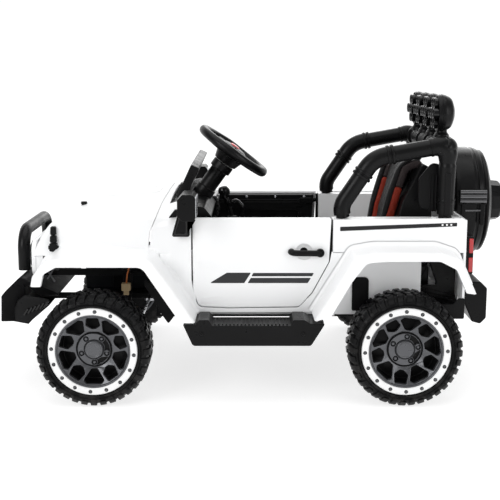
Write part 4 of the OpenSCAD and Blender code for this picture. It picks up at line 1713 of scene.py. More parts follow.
@dataclass
class RollBars:
    """Two plastic pipe hoops with collars and elbows, the cross pipe and its ribs."""

    pipe_r: float = 16.5
    elbow_r: float = 18.8
    collar_r: float = 20.2
    foot_r: float = 13.8
    half: float = field(init=False)
    belt: float = field(init=False)
    cross: Vector = field(init=False)

    def __post_init__(self) -> None:
        """Reads the hoops' and the cross pipe's places."""
        low, high = span("roll_hoops")
        self.half = high.y - self.pipe_r
        self.belt = low.z + 0.4
        low, high = span("lamp_bar")
        self.cross = Vector(((low.x + high.x) / 2, high.y, (low.z + high.z) / 2))

    def _collar(self, track: Track, distance: float, width: float = 5.0, lift: float = 0.0) -> Form:
        """Two rings round the pipe at a distance along it."""
        profile = [(self.pipe_r - 3, -width - 3), (self.collar_r + lift - 1, -width - 3),
            (self.collar_r + lift, -width - 2), (self.collar_r + lift, -2.2),
            (self.collar_r + lift - 2.2, -1), (self.collar_r + lift - 2.2, 1), (self.collar_r + lift, 2.2),
            (self.collar_r + lift, width + 2), (self.collar_r + lift - 1, width + 3),
            (self.pipe_r - 3, width + 3)]
        return Form().revolve(profile, track.at(distance), track.way(distance), 40, True)

    def hoops(self) -> None:
        """Makes both hoops, each with its feet, elbows, collars and corner joint."""
        y, belt, top = -self.half, self.belt, self.cross.z
        corner_x = self.cross.x
        path = rounded([(corner_x - 214, y, belt, 0), (corner_x - 220, y, belt + 24, 40),
            (corner_x - 152, y, belt + 125, 62), (corner_x - 40, y, belt + 145, 60),
            (corner_x + 1, y, top + 8, 20), (corner_x - 1, y, belt - 3, 0)], closed=False, steps=14)
        track = Track(path)
        first = track.nearest((corner_x - 176, y, belt + 92))
        second = track.nearest((corner_x - 118, y, belt + 134))
        third = track.nearest((corner_x - 30, y, belt + 147))
        corner = track.nearest((corner_x, y, top + 6))
        neck = track.length - 12

        def size(distance: float) -> float:
            """The pipe's radius at a distance."""
            if distance < 8 or distance > neck + 2:
                return self.foot_r
            if first < distance < second:
                return self.elbow_r
            if abs(distance - corner) < 34:
                return self.pipe_r + 5 * math.cos((distance - corner) / 34 * math.pi / 2)
            if distance > corner:
                return between(min(1, (distance - corner) / 110), 18.6, 17.2)
            return self.pipe_r + 1.2

        places = sorted({0, 7.9, 8.1, first + 0.1, second - 0.1, neck + 1.9, neck + 2.1, track.length}
            | {track.length * s for s in steps_to(110)})
        form = Form().tube([track.at(d) for d in places], [size(d) for d in places], 32)
        for distance in (first, second):
            form.join(self._collar(track, distance, 4.5, 0.8))
        form.join(self._collar(track, third, 4.0, -0.8))
        form.join(self._collar(track, 14, 3.0, -2.8), self._collar(track, neck - 26, 2.0, -2.0))
        bulb = [((21.5 - 0.001 * a * a) * math.cos(math.radians(a)), 25 * math.sin(math.radians(a)))
            for a in range(-90, 91, 10)]
        form.revolve(bulb, (corner_x - 1, y + 3, top + 1), ACROSS, 40)
        form.join(Form().tube([(corner_x, y, top), (corner_x, y + 34, top)], 20.5, 32))
        form.revolve([(18, -4), (23, -3), (23.5, 0), (23, 3), (18, 4)], (corner_x, y + 34, top), ACROSS, 36,
            True)
        panel = side_panel([(corner_x - 6, belt + 6, 3), (corner_x + 6, belt + 6, 3),
            (corner_x + 7, belt + 96, 4), (corner_x - 7, belt + 96, 4)], 4, 1.2, y - 15.6, 3)
        form.join(panel)
        piece("roll_hoop_pipes", form.paired(), Finish.PIPE_BLACK, Edges(sharp=48),
            stands_for=["roll_hoops"])

    def cross_pipe(self) -> None:
        """Makes the cross pipe with its ribs."""
        end = self.cross.y + 1
        x, z = self.cross.x, self.cross.z
        form = Form().tube([(x, -end, z), (x, end, z)], 16.8, 32)
        ring = Form().revolve([(15, -4.2), (20.2, -3.4), (21, -2), (21, 2), (20.2, 3.4), (15, 4.2)],
            (x, 0, z), ACROSS, 32, True)
        for start in (-126, -29, 68):
            form.join(rowed(ring.moved(Matrix.Translation((0, start, 0))), 5, (0, 14.5, 0)))
        piece("cross_pipe", form, Finish.PIPE_BLACK, Edges(sharp=40), stands_for=["lamp_bar"])

    def guard(self) -> None:
        """Makes the ribbed guard plates between the seat and the rear legs."""
        x, y = self.cross.x - 34, -self.half + 30
        outline = rounded([(x - 14, self.belt + 16, 6), (x + 22, self.belt + 8, 6),
            (x + 26, self.belt + 110, 10), (x + 6, self.belt + 112, 12), (x - 20, self.belt + 80, 14),
            (x - 20, self.belt + 30, 10)])
        form = plate(outline, [], 8, 2.4).moved(facing_side(y))
        groove = Form().tube([(x + 4, y - 8, self.belt + 10), (x + 4, y - 8, self.belt + 88)], 1.7, 8)
        form.join(rowed(groove, 3, (6.5, 0, 0)))
        piece("seat_guards", form.paired(), Finish.BLACK_TRIM, CRISP)

    def build(self) -> None:
        """Makes the bars."""
        self.hoops()
        self.cross_pipe()
        self.guard()


@dataclass
class RoofLamps:
    """Four round lamps, each a bowl on a neck with seven glossy cells in front."""

    bowl_r: float = 39.0
    cell_r: float = 11.2
    cell_step: float = 24.0
    low: Vector = field(init=False)
    high: Vector = field(init=False)

    def __post_init__(self) -> None:
        """Reads the lamps' box."""
        self.low, self.high = span("roof_lamps")

    def build(self) -> None:
        """Makes the bowls, the cells, their rims and the necks."""
        back = Vector((1, 0, 0))
        y = self.low.y + self.bowl_r
        spread = (self.high.y - self.bowl_r - y) / 3
        z = self.high.z - self.bowl_r
        front = self.low.x
        bowl = Form().lathe([(0, 5, 0), (33, 5, 2), (35.5, 0, 1.5), (38, 0, 1.5), (39, 5, 2), (38.6, 16, 14),
            (32, 30, 15), (14, 36.5, 14), (0, 37, 0)], (front, y, z), back, 56)
        bowl.revolve([(38.2, 8), (39.6, 9), (39.6, 11), (38.2, 12)], (front, y, z), back, 56, True)
        neck_x = front + 12
        base = z - self.bowl_r - 15
        bowl.lathe([(0, 0, 0), (17, 0, 2), (16, 8, 3), (11.5, 14, 5), (11.5, 30, 0), (0, 30, 0)],
            (neck_x, y, base), UP, 32)
        piece("lamp_bowls", rowed(bowl, 4, (0, spread, 0)), Finish.PIPE_BLACK, Edges(sharp=40),
            stands_for=["roof_lamps"])
        cells, lenses = Form(), Form()
        rise = self.cell_step * math.sqrt(3) / 2
        spots = [(s * self.cell_step / 2, r * rise, 0) for s in (-1, 1) for r in (-1, 1)]
        spots += [(s * self.cell_step, 0, 4) for s in (-1, 0, 1)]
        for across, up, lift in spots:
            place = (front + 6, y + across, z + up)
            cells.revolve(rounded([(self.cell_r - 1.6, 0, 0), (self.cell_r, 0, 0.5),
                (self.cell_r, 13 + lift, 1.2), (self.cell_r - 1.4, 14.2 + lift, 0.6),
                (self.cell_r - 2.6, 12 + lift, 0.5), (self.cell_r - 3.4, 8 + lift, 0)], steps=3), place,
                FORWARD, 24, True)
            lenses.revolve([(0, 11 + lift), (4, 10.6 + lift), (self.cell_r - 2.4, 8.6 + lift),
                (self.cell_r - 2, 5), (0, 5)], place, FORWARD, 24)
        piece("lamp_cells", rowed(cells, 4, (0, spread, 0)), Finish.BLACK_GLOSS, Edges(sharp=40))
        piece("lamp_lenses", rowed(lenses, 4, (0, spread, 0)), Finish.LAMP_CELL, Edges(sharp=40))


@dataclass
class SpareCover:
    """Round spare wheel cover with a stepped face, a boss, and strap buckles on its sides."""

    low: Vector = field(init=False)
    high: Vector = field(init=False)
    radius: float = field(init=False)
    middle: Vector = field(init=False)

    def __post_init__(self) -> None:
        """Reads the cover's box."""
        self.low, self.high = span("spare_cover")
        self.radius = (self.high.y - self.low.y) / 2
        self.middle = Vector((self.low.x, 0, (self.low.z + self.high.z) / 2))

    def drum(self) -> None:
        """Makes the drum with its steps, and the boss with its cap."""
        r, deep = self.radius, self.high.x - self.low.x
        back = Vector((1, 0, 0))
        form = Form().lathe([(0, 0, 0), (r - 6, 0, 3), (r - 1, 4, 4), (r, 12, 3), (r, deep - 82, 4),
            (r - 2.2, deep - 78, 1), (r - 2.2, deep - 75, 1), (r - 0.5, deep - 73, 2),
            (r - 4, deep - 62, 10), (r - 17, deep - 52, 10), (r - 24, deep - 50, 2), (r - 26, deep - 47, 2),
            (r - 46, deep - 37, 8), (52, deep - 31, 6), (0, deep - 31, 0)], self.middle, back, 96)
        form.lathe([(0, deep - 40, 0), (47, deep - 40, 0), (46, deep - 22, 3), (44.5, deep - 8, 4),
            (38, deep - 1, 5), (20, deep, 4), (0, deep, 0)], self.middle, back, 10)
        rim = rounded([(r - 22, deep - 57, 1), (r - 9, deep - 60, 3), (r - 6, deep - 52, 3),
            (r - 20, deep - 45, 3), (r - 26, deep - 50, 1)], steps=3)
        form.revolve(rim, self.middle, back, 96, True)
        piece("spare_drum", form, Finish.PIPE_BLACK, Edges(sharp=34), stands_for=["spare_cover"])

    def buckles(self) -> None:
        """Makes the strap buckle on each side of the drum."""
        x0, x1 = self.low.x + 9, self.low.x + 66
        y, z = -self.radius - 1, self.middle.z + 14
        frame, bars = Form(), Form()
        outline = rounded([(x0 - 2, z - 8, 3), (x1 + 2, z - 8, 3), (x1 + 2, z + 24, 3), (x0 - 2, z + 24, 3)],
            steps=3)
        frame.join(plate(outline, [], 10, 1.6).moved(facing_side(y + 8)))
        for x in (x0 + 4, x1 - 12):
            hook = rounded([(x, z - 52, 3), (x + 9, z - 56, 3), (x + 10, z - 2, 2), (x - 1, z - 2, 2)],
                steps=3)
            frame.join(plate(hook, [], 12, 1.5).moved(facing_side(y + 10)))
        for height, size in ((20, 4.2), (10, 4.8), (0, 4.2)):
            bars.join(Form().tube([(x0, y - 2.5, z + height), (x1, y - 2.5, z + height)], size, 16))
        bars.join(Form().tube([(x0 + 12, y - 1.5, z - 21), (x1 - 12, y - 1.5, z - 21)], 2.0, 12))
        piece("buckle_frames", frame.paired(), Finish.BLACK_TRIM, CRISP)
        piece("buckle_bars", bars.paired(), Finish.BUCKLE_GREY, CRISP)

    def build(self) -> None:
        """Makes the cover."""
        self.drum()
        self.buckles()


@dataclass
class Bumpers:
    """Front bumper with its end vents and bull bar, rear bumper, and side steps."""

    bar_r: float = 13.5

    def front(self) -> None:
        """Makes the front bumper and the fins of its end vents."""
        recut("front_bumper", Finish.BLACK_TRIM, Edges(bevel=2.2))
        low = span("front_bumper")[0]
        nose = low.x + 53
        cap = rounded([(nose - 19, 196, 3), (nose - 2, 209, 3), (nose + 53, 200, 3), (nose + 5, 147, 3),
            (nose - 38, 149, 3)])
        ends = plate(cap, [], 5, 1.4).moved(facing_side(low.y + 4.5))
        ends = ends.shaped(lambda p: (p.x, p.y + max(0.0, nose - p.x) * 0.53, p.z))
        piece("bumper_ends", ends.paired(), Finish.BLACK_TRIM, CRISP)
        fin = plate(rounded([(nose - 6, 168, 1), (nose + 3, 181, 1), (nose + 7, 179, 1), (nose - 2, 166, 1)],
            steps=2), [], 3, 0.8)
        fins = rowed(fin.moved(facing_side(low.y + 1)), 6, (8.6, 0, 3.4))
        piece("bumper_vents", fins.paired(), Finish.BLACK_GLOSS, CRISP)
        lip = Form().tube([(-546, -200, 190), (-546, 200, 190)], 2.6, 10)
        lip.join(Form().tube([(-546, -200, 172), (-546, 200, 172)], 2.6, 10))
        piece("bumper_lips", lip, Finish.BLACK_TRIM, Edges(sharp=60))

    def bull_bar(self) -> None:
        """Makes the hoop in front of the grille with its feet and inner braces."""
        low, high = span("bull_bar")
        x, half, top = (low.x + high.x) / 2, high.y - self.bar_r, high.z - self.bar_r
        path = rounded([(x, -half, low.z, 0), (x, -half, top, 42), (x, half, top, 42), (x, half, low.z, 0)],
            closed=False, steps=14)
        form = Form().tube(path, self.bar_r, 32)
        for side in (-1, 1):
            form.join(Form().tube([(x, side * (half - 16), low.z + 34),
                (x + 26, side * (half - 16), low.z + 34)], 5, 14))
        form.join(Form().tube([(x, -half, low.z + 34), (x, half, low.z + 34)], 8.5, 24))
        piece("bull_bar_hoop", form, Finish.PIPE_BLACK, CRISP, stands_for=["bull_bar"])

    def rear(self) -> None:
        """Makes the rear bumper."""
        recut("rear_bumper", Finish.BLACK_TRIM, Edges(bevel=3.0))

    def steps(self) -> None:
        """Makes the side steps and the grip ribs on their treads."""
        recut("side_steps", Finish.BLACK_TRIM, Edges(bevel=2.4))
        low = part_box("side_steps")[0] / MM
        tread = 168.0
        rib = Form().tube([(-95, low.y + 6, tread + 0.4), (-95, -262, tread + 0.4)], 1.8, 10)
        ribs = rowed(rib, 20, (7.7, 0, 0))
        cap = Form().lathe([(0, 2.4, 0), (3.4, 2.2, 1), (4.4, 0, 0.6), (4.4, -2, 0), (0, -2, 0)],
            (-122, low.y, 152), -ACROSS, 20)
        ribs.join(rowed(cap, 2, (206, 0, 0)))
        piece("step_ribs", ribs.paired(), Finish.BLACK_TRIM, SOFT)

    def build(self) -> None:
        """Makes the bumpers and the steps."""
        self.front()
        self.bull_bar()
        self.rear()
        self.steps()


@dataclass
class Face:
    """The car's face: white panel, seven-slot grille and round headlights."""

    slots: int = 7

    def build(self) -> None:
        """Makes the panel, the grille and the lamps."""
        low, high = span("front_fascia")
        grille_low, grille_high = span("grille")
        lamp_low, lamp_high = span("headlights")
        lamp_r = (lamp_high.z - lamp_low.z) / 2
        lamp_y, lamp_z = lamp_high.y - lamp_r, (lamp_high.z + lamp_low.z) / 2
        pitch = (grille_high.y - grille_low.y) / self.slots
        holes = []
        for i in range(self.slots):
            y = grille_low.y + pitch * (i + 0.5)
            holes.append(rounded([(y - 8, grille_low.z + 4, 7.5), (y + 8, grille_low.z + 4, 7.5),
                (y + 8, grille_high.z - 4, 7.5), (y - 8, grille_high.z - 4, 7.5)]))
        for side in (-1, 1):
            holes.append(circle(lamp_r + 0.8, 64, (side * lamp_y, lamp_z)))
        outline = rounded([(low.y, low.z, 16), (high.y, low.z, 16), (high.y, high.z, 26),
            (low.y, high.z, 26)])
        panel = plate(outline, holes, 9, 2.0).moved(facing_front(low.x + 9))
        panel.join(Form().box((low.x + 6, low.y + 2, low.z + 6),
            (low.x + 24, low.y + 7, low.z + 46)).paired())
        piece("face_panel", panel, Finish.WHITE_SHELL, CRISP, stands_for=["front_fascia"])
        mesh = Form().box((grille_low.x + 9, grille_low.y + 2, grille_low.z + 1),
            (grille_low.x + 11, grille_high.y - 2, grille_high.z - 1))
        bar = Form().tube([(grille_low.x + 8, grille_low.y + 3, grille_low.z + 6),
            (grille_low.x + 8, grille_high.y - 3, grille_low.z + 6)], 1.5, 8)
        mesh.join(rowed(bar, 9, (0, 0, 6.6)))
        piece("grille_mesh", mesh, Finish.BLACK_TRIM, CRISP, stands_for=["grille"])
        front = Form().revolve(rounded([(lamp_r - 4, 2, 0), (lamp_r + 0.5, 2, 0), (lamp_r + 0.5, 11, 1.5),
            (lamp_r - 2, 13, 1.5), (lamp_r - 4.5, 10, 1)], steps=3), (lamp_high.x, lamp_y, lamp_z), FORWARD,
            64, True)
        piece("headlight_rims", front.paired(), Finish.BLACK_GLOSS, CRISP)
        lens = Form().revolve([(0, 15), (10, 14.4), (20, 12.4), (lamp_r - 4.2, 9), (lamp_r - 4.2, 2),
            (0, 2)], (lamp_high.x, lamp_y, lamp_z), FORWARD, 64)
        piece("headlight_lenses", lens.paired(), Finish.LAMP_LENS, CRISP, stands_for=["headlights"])


@dataclass
class TailLights:
    """Black housings with two ribbed red lenses each."""

    def build(self) -> None:
        """Makes the housings and the lenses."""
        low, high = span("tail_lights")
        y0, y1, inner = low.y, -186.0, low.x
        deep = high.x - low.x
        middle = (low.z + high.z) / 2
        outline = rounded([(y0, low.z, 5), (y1, low.z, 5), (y1, high.z, 5), (y0, high.z, 5)])
        holes = [rounded([(y0 + 5, a + 4, 3), (y1 - 5, a + 4, 3), (y1 - 5, b - 3, 3), (y0 + 5, b - 3, 3)])
            for a, b in ((low.z, middle), (middle, high.z))]
        frame = plate(outline, holes, 16, 1.6).moved(facing_front(high.x - 1))
        frame.join(plate(outline, [], deep - 14, 1.2).moved(facing_front(inner + deep - 14)))
        piece("tail_housings", frame.paired(), Finish.BLACK_TRIM, CRISP, stands_for=["tail_lights"])
        lens, side = Form(), Form()
        for hole in holes:
            lens.join(plate(hole, [], 10, 2.4).moved(facing_front(high.x)))
        for a, b in ((low.z, middle), (middle, high.z)):
            window = rounded([(inner + 8, a + 5, 2), (high.x - 2, a + 5, 2), (high.x - 2, b - 4, 2),
                (inner + 8, b - 4, 2)])
            side.join(plate(window, [], 4, 1.4).moved(facing_side(y0 + 2)))
        piece("tail_lenses", lens.join(side).paired(), Finish.RED_LENS, CRISP)


# ---- cockpit and seat --------------------------------------------------------------------


@dataclass
class Cockpit:
    """Dashboard, steering wheel, screen frame, mirrors, gear lever and pedal."""

    centre: Vector = Vector((-62, 0, 496))
    lean: float = 36.0
    rim_r: float = 81.5
    tube_r: float = 10.2
    hub_r: float = 34.0

    def _on_column(self, form: Form) -> Form:
        """Puts a form that is made round the column's axis in its place."""
        turn = Matrix.Rotation(math.radians(self.lean), 4, "Y")
        return form.moved(Matrix.Translation(self.centre) @ turn)

    def wheel(self) -> None:
        """Makes the steering wheel: rim with thumb grips, three spokes, hub and horn pad."""

        def swollen(p: Vector) -> Vector:
            """Thickens the rim where the hands hold it and flattens it at the foot."""
            angle = math.atan2(p.y, p.x)
            grip = max(0.0, math.cos(2 * (abs(angle) - 1.75))) ** 3
            foot = max(0.0, math.cos(angle)) ** 10
            middle = Vector((math.cos(angle), math.sin(angle), 0)) * self.rim_r
            return middle + (p - middle) * (1 + 0.16 * grip + 0.12 * foot)

        ring = circle(self.tube_r, 24, (self.rim_r, 0))
        form = Form().revolve(ring, (0, 0, 0), UP, 96, True).shaped(swollen)
        for turn in (0, 120, 240):
            loops = []
            for share in steps_to(12):
                out = between(share, self.hub_r - 12, self.rim_r - 4)
                half = between(share, 19, 12.5) + 3 * (2 * share - 1) ** 2
                high = between(share, -5, -1)
                loops.append([(out, half * math.cos(a), high + 6.5 * math.copysign(abs(math.sin(a)) ** 0.6,
                    math.sin(a))) for a in (math.tau * i / 24 for i in range(24))])
            form.join(Form().loft(loops).moved(Matrix.Rotation(math.radians(turn), 4, "Z")))
        form.lathe([(0, -34, 0), (27, -34, 3), (33, -16, 6), (35, -4, 8), (33, 2, 6), (31, 6, 4), (25, 9, 5),
            (14, 10.5, 8), (0, 11, 0)], (0, 0, 0), UP, 64)
        button = Form().lathe([(0, 13, 0), (5, 8.5, 1.2), (5.4, 1, 0), (0, 1, 0)], (0, 29, 0), UP, 20)
        form.join(button.paired())
        piece("steering_wheel_rim", self._on_column(form), Finish.PIPE_BLACK, SOFT, "steering_wheel_body",
            ["steering_wheel"])
        badge = Form().lathe([(0, 13.6, 0), (9, 13, 1), (12.5, 11.2, 0.8), (12.5, 4, 0), (0, 4, 0)],
            (-2, -5, 0), UP, 40)
        piece("horn_badge", self._on_column(badge), Finish.HORN_RED, SOFT, "steering_wheel_body")

    def dashboard(self) -> None:
        """Makes the dashboard, its panel with two dials and switches, and the column's bellows."""
        recut("dashboard", Finish.BLACK_TRIM, Edges(bevel=3.0))
        recut("steering_column", Finish.PIPE_BLACK, Edges(bevel=2.0))
        face = -106.0
        panel = plate(rounded([(62, 332, 6), (182, 332, 6), (182, 384, 8), (62, 384, 8)]), [], 12,
            2).moved(facing_front(face + 4))
        dial = Form().revolve(rounded([(15, 0, 0), (18, 0, 1), (18, 7, 1.5), (15.5, 8, 1), (15, 4, 0.5),
            (0, 3, 0)], closed=False, steps=3), (face, 92, 360), -FORWARD, 40)
        panel.join(rowed(dial, 2, (0, 56, 0)))
        switch = Form().lathe([(0, 8, 0), (4.6, 7.6, 1), (5, 0, 0), (0, 0, 0)], (face, 78, 340), -FORWARD,
            20)
        panel.join(rowed(switch, 5, (0, 22, 0)))
        piece("dash_panel", panel, Finish.BLACK_GLOSS, CRISP)

    def screen(self) -> None:
        """Makes the screen's frame, its hinge blocks, and the mirrors with their glass."""
        recut("windshield_frame", Finish.BLACK_TRIM, Edges(bevel=3.0))
        wedge = Form().prism(rounded([(-193, 375, 1), (-176, 377, 1), (-172, 392, 3), (-180, 392, 2)]), -240,
            -226)
        piece("screen_hinges", wedge.paired(), Finish.BLACK_TRIM, Edges(bevel=1.5))
        recut("mirrors", Finish.BLACK_TRIM, Edges(bevel=4.0, segments=4))
        low = span("mirrors")[0]
        outline = rounded([(low.y + 5, 388, 6), (-264, 388, 6), (-264, 429, 6), (low.y + 5, 429, 6)])
        glass = plate(outline, [], 3, 0.8).moved(facing_front(-130.5))
        piece("mirror_faces", glass.paired(), Finish.STEEL, CRISP)
        rib = plate(rounded([(-182, 343, 3), (-151, 343, 3), (-151, 390, 6), (-160, 396, 3),
            (-169, 384, 4)]), [rounded([(-177, 348, 3), (-156, 348, 3), (-156, 386, 4), (-160, 388, 3),
            (-166, 379, 3)])], 2.6, 1.2).moved(facing_side(-265))
        piece("mirror_foot_rims", rib.paired(), Finish.BLACK_GLOSS, CRISP)

    def controls(self) -> None:
        """Makes the gear lever with its handles and gaiter, and the pedal with its ribs."""
        recut("shift_lever", Finish.BLACK_TRIM, Edges(bevel=1.6))
        low, high = span("shift_lever")
        knob = Vector((low.x + 11, 128, high.z - 13))
        form = Form().lathe([(0, 14, 0), (10, 13, 7), (14, 3, 8), (10, -9, 6), (6.4, -17, 4), (6.4, -30, 0),
            (0, -30, 0)], knob, Vector((-0.28, 0, 0.96)), 32)
        for step, size in enumerate((19, 16, 13)):
            form.lathe([(0, -4, 0), (size, -4, 2), (size - 1.5, 4, 3), (0, 4, 0)],
                (-61 - 3 * step, 128, 306 + 9 * step), UP, 28)
        handle = rounded([(-70, 112, 352, 0), (-60, 112, 372, 8), (-42, 112, 352, 8), (-46, 112, 322, 0)],
            closed=False)
        form.join(Form().tube(handle, 5, 16))
        piece("lever_knob", form, Finish.BLACK_GLOSS, SOFT)
        recut("pedal", Finish.BLACK_TRIM, Edges(bevel=2.0))

    def build(self) -> None:
        """Makes the cockpit."""
        self.wheel()
        self.dashboard()
        self.screen()
        self.controls()


@dataclass
class Seat:
    """Moulded shell with stuffed pads that are sewn in vertical panels."""

    voxel: float = 4.0
    cap: float = 5.0
    soften: float = 3.5
    split_z: float = 430.0
    centre_half: float = 62.0

    def _puffed(self, made: bpy.types.Object) -> None:
        """Fills a pad by cloth simulation with inner pressure, and caps how far it swells."""
        scene = bpy.context.scene
        start = [v.co.copy() for v in made.data.vertices]
        cloth = made.modifiers.new("stuffing", "CLOTH")
        cloth.settings.quality = 5
        cloth.settings.mass = 0.3
        cloth.settings.tension_stiffness = 12
        cloth.settings.compression_stiffness = 12
        cloth.settings.bending_stiffness = 0.4
        cloth.settings.use_pressure = True
        cloth.settings.uniform_pressure_force = 4
        cloth.settings.effector_weights.gravity = 0
        scene.frame_start, scene.frame_end = 1, 20
        for frame in range(1, 21):
            scene.frame_set(frame)
        swollen = [v.co.copy() for v in made.evaluated_get(
            bpy.context.evaluated_depsgraph_get()).data.vertices]
        made.modifiers.clear()
        scene.frame_set(1)
        drift = sum((b - a for a, b in zip(start, swollen)), Vector()) / len(start)
        for vertex, a, b in zip(made.data.vertices, start, swollen):
            move = b - a - drift
            vertex.co = a + move * min(1.0, self.cap * MM / max(move.length, 1e-9))

    def pad(self, name: str, form: Form, finish: Finish, stands_for: Sequence[str] = ()) -> None:
        """Makes one stuffed pad.

        Args:
            name: its name.
            form: its shape before it is stuffed.
            finish: its cloth.
            stands_for: the CAD nodes that it takes the place of.
        """
        made = softened(placed(name, form.mesh(name)), Edges(bevel=self.soften, segments=4, sharp=80))
        remesh = made.modifiers.new("even", "REMESH")
        remesh.mode = "VOXEL"
        remesh.voxel_size = self.voxel * MM
        made = applied(made)
        self._puffed(made)
        smooth = made.modifiers.new("smooth", "SUBSURF")
        smooth.levels = smooth.render_levels = 1
        made = applied(made)
        smoothed(made.data, 80)
        dressed(made, finish, "body_shell", stands_for)

    def _layer(self, near: float, far: float, low_z: float, high_z: float) -> list[Point]:
        """The side outline of a layer of the back.

        Args:
            near: the depth of its front face behind the bolsters' crest.
            far: the depth of its rear face.
            low_z: where it starts.
            high_z: where it ends.

        Returns:
            The outline.
        """
        crest = rounded([(258, 304, 0), (266, 362, 60), (285, 430, 60), (300, 476, 26), (330, 493, 14),
            (352, 490, 0)], closed=False, steps=5)
        points = [Vector((p.x, p.y)) for p in crest if low_z <= p.y <= high_z]
        ways = [(points[min(i + 1, len(points) - 1)] - points[max(i - 1, 0)]).normalized()
            for i in range(len(points))]
        inwards = [Vector((way.y, -way.x)) for way in ways]
        front = [p + n * near for p, n in zip(points, inwards)]
        return front + [p + n * far for p, n in reversed(list(zip(points, inwards)))]

    def back(self) -> None:
        """Makes the back's sunken centre and its bolsters, each an edge, a red band and a shoulder."""
        inner, outer = self.centre_half, -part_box("seat_back")[0].y / MM - 2
        self.pad("back_centre", Form().prism(self._layer(20, 31, 300, 495), -inner - 24, inner + 24),
            Finish.SEAT_BLACK, ["seat_back"])
        layers = {"back_edge": (1, 8, 300, 495, Finish.SEAT_BLACK),
            "back_band": (9, 25, 300, self.split_z, Finish.SEAT_RED),
            "back_shoulder": (9, 25, self.split_z - 4, 495, Finish.SEAT_GREY)}
        for name, (near, far, low_z, high_z, finish) in layers.items():
            outline = self._layer(near, far, low_z, high_z)
            for side_name, side in SIDES.items():
                low_y, high_y = sorted((side * (inner + 28), side * outer))
                self.pad(f"{name}_{side_name}", Form().prism(outline, low_y, high_y), finish)

    def cushion(self) -> None:
        """Makes the cushion's centre and side pads."""
        low, high = span("seat_cushion")
        outline = [(low.x + 12, low.z + 4), (low.x + 7, low.z + 24), (low.x + 26, high.z - 6),
            (high.x - 8, high.z - 13), (high.x - 8, low.z + 4)]
        self.pad("cushion_centre", Form().prism(outline, -84, 84), Finish.SEAT_BLACK, ["seat_cushion"])
        for name, side in SIDES.items():
            low_y, high_y = sorted((side * 92, side * (high.y - 6)))
            self.pad("cushion_bolster_" + name, Form().prism(outline, low_y, high_y), Finish.SEAT_BLACK, ())

    def stitches(self) -> None:
        """Makes the rows of stitches along the side panels and the piping in the seams."""
        line = [Vector((p[0], -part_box("seat_back")[1].y / MM - 1.2, p[1]))
            for p in self._layer(24, 30, 312, 424)]
        line = line[:len(line) // 2]
        stitch = Form().tube([(0, 0, -2.4), (0, 0, 2.4)], 0.8, 8)
        form = along_path(stitch, line, 26)
        piece("back_stitches", form.paired(), Finish.SEAT_GREY)
        run = self._layer(18, 24, 306, 492)
        seam = Form().tube([(p[0], -self.centre_half + 20, p[1]) for p in run[:len(run) // 2]], 2.4, 12)
        piece("back_piping", seam.paired(), Finish.SEAT_BLACK)

    def shell(self) -> None:
        """Makes the shell and the lap belt with its clasp."""
        recut("seat_shell", Finish.BLACK_TRIM, Edges(bevel=3.0))
        strap = [(238, -140, 300), (226, -132, 318), (196, -96, 318), (186, -56, 316), (184, -10, 315)]
        path = rounded([(*p, 16) for p in strap], closed=False, steps=5)
        loops = [[(p.x - 11, p.y, p.z + 2), (p.x + 11, p.y - 4, p.z + 2), (p.x + 11, p.y - 4, p.z + 4),
            (p.x - 11, p.y, p.z + 4)] for p in path]
        belt = Form().loft(loops)
        belt.box((171, -12, 316), (199, 26, 326))
        piece("lap_belt", belt, Finish.BLACK_TRIM, Edges(bevel=0.8))

    def build(self) -> None:
        """Makes the seat."""
        self.shell()
        self.back()
        self.cushion()
        self.stitches()


# ---- running gear ------------------------------------------------------------------------


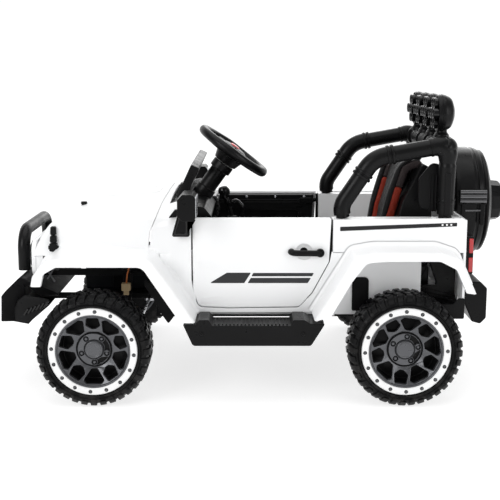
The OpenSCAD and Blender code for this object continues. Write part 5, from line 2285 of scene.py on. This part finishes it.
@dataclass
class RunningGear:
    """What shows in the arches and from below: frame, axles, motors, battery and wires."""

    def plain(self) -> None:
        """Dresses the frame, the axles and the steering in their own shapes."""
        looks = {"chassis": (Finish.CHASSIS_BLACK, 1.2, "body_shell"),
            "front_axle": (Finish.CHASSIS_BLACK, 1.2, "body_shell"),
            "rear_axle": (Finish.STEEL, 0.6, "body_shell"), "drive_motors": (Finish.GEAR_GREY, 2.0,
            "body_shell"), "battery": (Finish.BATTERY, 5.0, "body_shell"),
            "tie_rod": (Finish.STEEL, 0.6, "steering_rack_body"), "knuckle_left": (Finish.CHASSIS_BLACK, 1.0,
            "knuckle_left_body"), "knuckle_right": (Finish.CHASSIS_BLACK, 1.0, "knuckle_right_body")}
        for name, (finish, bevel, body) in looks.items():
            recut(name, finish, Edges(bevel=bevel), body)

    def battery(self) -> None:
        """Makes the battery's lid, its strap and its terminals."""
        low, high = span("battery")
        lid = Form().box((low.x + 4, low.y - 2, high.z - 16), (high.x - 4, high.y + 2, high.z - 11))
        lid.box((low.x + 62, low.y - 2.4, low.z + 2), (low.x + 84, high.y + 2.4, high.z + 1.6))
        piece("battery_strap", lid, Finish.BLACK_TRIM, Edges(bevel=0.8))
        post = Form().lathe([(0, 5, 0), (5, 5, 1), (5.5, -3, 0), (0, -3, 0)],
            (low.x + 24, low.y + 24, high.z), UP, 24)
        piece("battery_posts", rowed(post, 2, (0, high.y - low.y - 48, 0)), Finish.STEEL, CRISP)

    def rear(self) -> None:
        """Makes what shows in the rear arches: motor openings, bumper brackets and hanging leads."""
        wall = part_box("cabin_tub")[0].y / MM + 14
        axle = (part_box("rim_rear_left")[0].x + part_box("rim_rear_left")[1].x) / 2 / MM
        window = rounded([(axle - 102, 178, 4), (axle - 67, 178, 4), (axle - 67, 250, 9),
            (axle - 102, 250, 9)])
        piece("motor_openings", plate(window, [], 4, 1.2).moved(facing_side(wall)).paired(),
            Finish.CHASSIS_BLACK, CRISP)
        outline = [(axle + 63, 282), (axle + 121, 282), (axle + 121, 206), (axle + 132, 172),
            (axle + 108, 172), (axle + 42, 210), (axle + 42, 225), (axle + 82, 227)]
        bracket = side_panel([(*p, 3) for p in outline], 12, 2, -192, 3)
        sill = [(axle + 42, 164), (axle + 132, 164), (axle + 132, 208), (axle + 120, 208), (axle + 108, 196),
            (axle + 42, 196)]
        bracket.join(side_panel([(*p, 3) for p in sill], 4, 1.2, wall - 14.5, 3))
        rib = Form().prism([(axle + 60, 214), (axle + 118, 200), (axle + 118, 205), (axle + 60, 219)], -208,
            -203)
        bracket.join(rowed(rib, 3, (0, 0, -9)))
        piece("rear_brackets", bracket.paired(), Finish.BLACK_TRIM, CRISP)
        lead = rounded([(axle + 52, -214, 300, 0), (axle + 58, -214, 268, 14), (axle + 47, -214, 246, 14),
            (axle + 40, -214, 222, 0)], closed=False)
        piece("rear_leads", Form().tube(lead, 1.7, 12).paired(), Finish.CHASSIS_BLACK)

    def front(self) -> None:
        """Makes the struts, guards and plugs that show behind the front bumper."""
        strut = Form().tube([(-470, -150, 254), (-450, -150, 222)], 2.2, 16)
        strut.join(Form().tube([(-452, -150, 250), (-466, -150, 228)], 1.8, 16))
        piece("front_struts", strut.paired(), Finish.GEAR_GREY, CRISP)
        block = Form().box((-302, -174, 206), (-283, -158, 222)).box((-298, -171, 196), (-287, -161, 206))
        piece("lead_plugs", block, Finish.CONNECTOR, Edges(bevel=1.4))
        riser = rounded([(-292, -166, 221, 0), (-290, -166, 240, 10), (-284, -160, 262, 0)], closed=False)
        piece("plug_lead", Form().tube(riser, 1.8, 10), Finish.WIRE_ORANGE)
        guard = rounded([(-246, 246, 4), (-214, 228, 4), (-182, 206, 2), (-176, 176, 3), (-196, 150, 3),
            (-214, 176, 6), (-222, 196, 8), (-244, 230, 4)])
        stay = plate(guard, [], 4, 1.2).moved(facing_side(-236.5))
        stay.join(Form().prism(rounded([(-446, 236, 2), (-284, 238, 2), (-290, 247, 4), (-440, 250, 4)]),
            -150, -138))
        stay.join(Form().prism([(-300, 180), (-284, 180), (-280, 240), (-300, 240)], -150, -142))
        piece("front_guards", stay.paired(), Finish.CHASSIS_BLACK, Edges(bevel=1.2))

    def wires(self) -> None:
        """Makes the drooping wires from the frame's nose to the battery."""
        recut("wiring", Finish.WIRE_BLACK, Edges())

    def build(self) -> None:
        """Makes the running gear."""
        self.plain()
        self.battery()
        self.rear()
        self.front()
        self.wires()


def main() -> None:
    """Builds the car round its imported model."""
    logging.basicConfig(level=logging.INFO, format="%(name)s: %(message)s")
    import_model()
    Studio().build()
    for place in ("front_left", "front_right", "rear_left", "rear_right"):
        Wheel(place, LEFT if place.endswith("left") else RIGHT).build()
    bonnet = Bonnet()
    bonnet.build()
    Fenders(bonnet).build()
    Tub().build()
    for name, side in SIDES.items():
        Door(name, side).build()
    for maker in (RollBars, RoofLamps, SpareCover, Bumpers, Face, TailLights, Seat, Cockpit, RunningGear):
        maker().build()


if __name__ == "__main__":
    main()
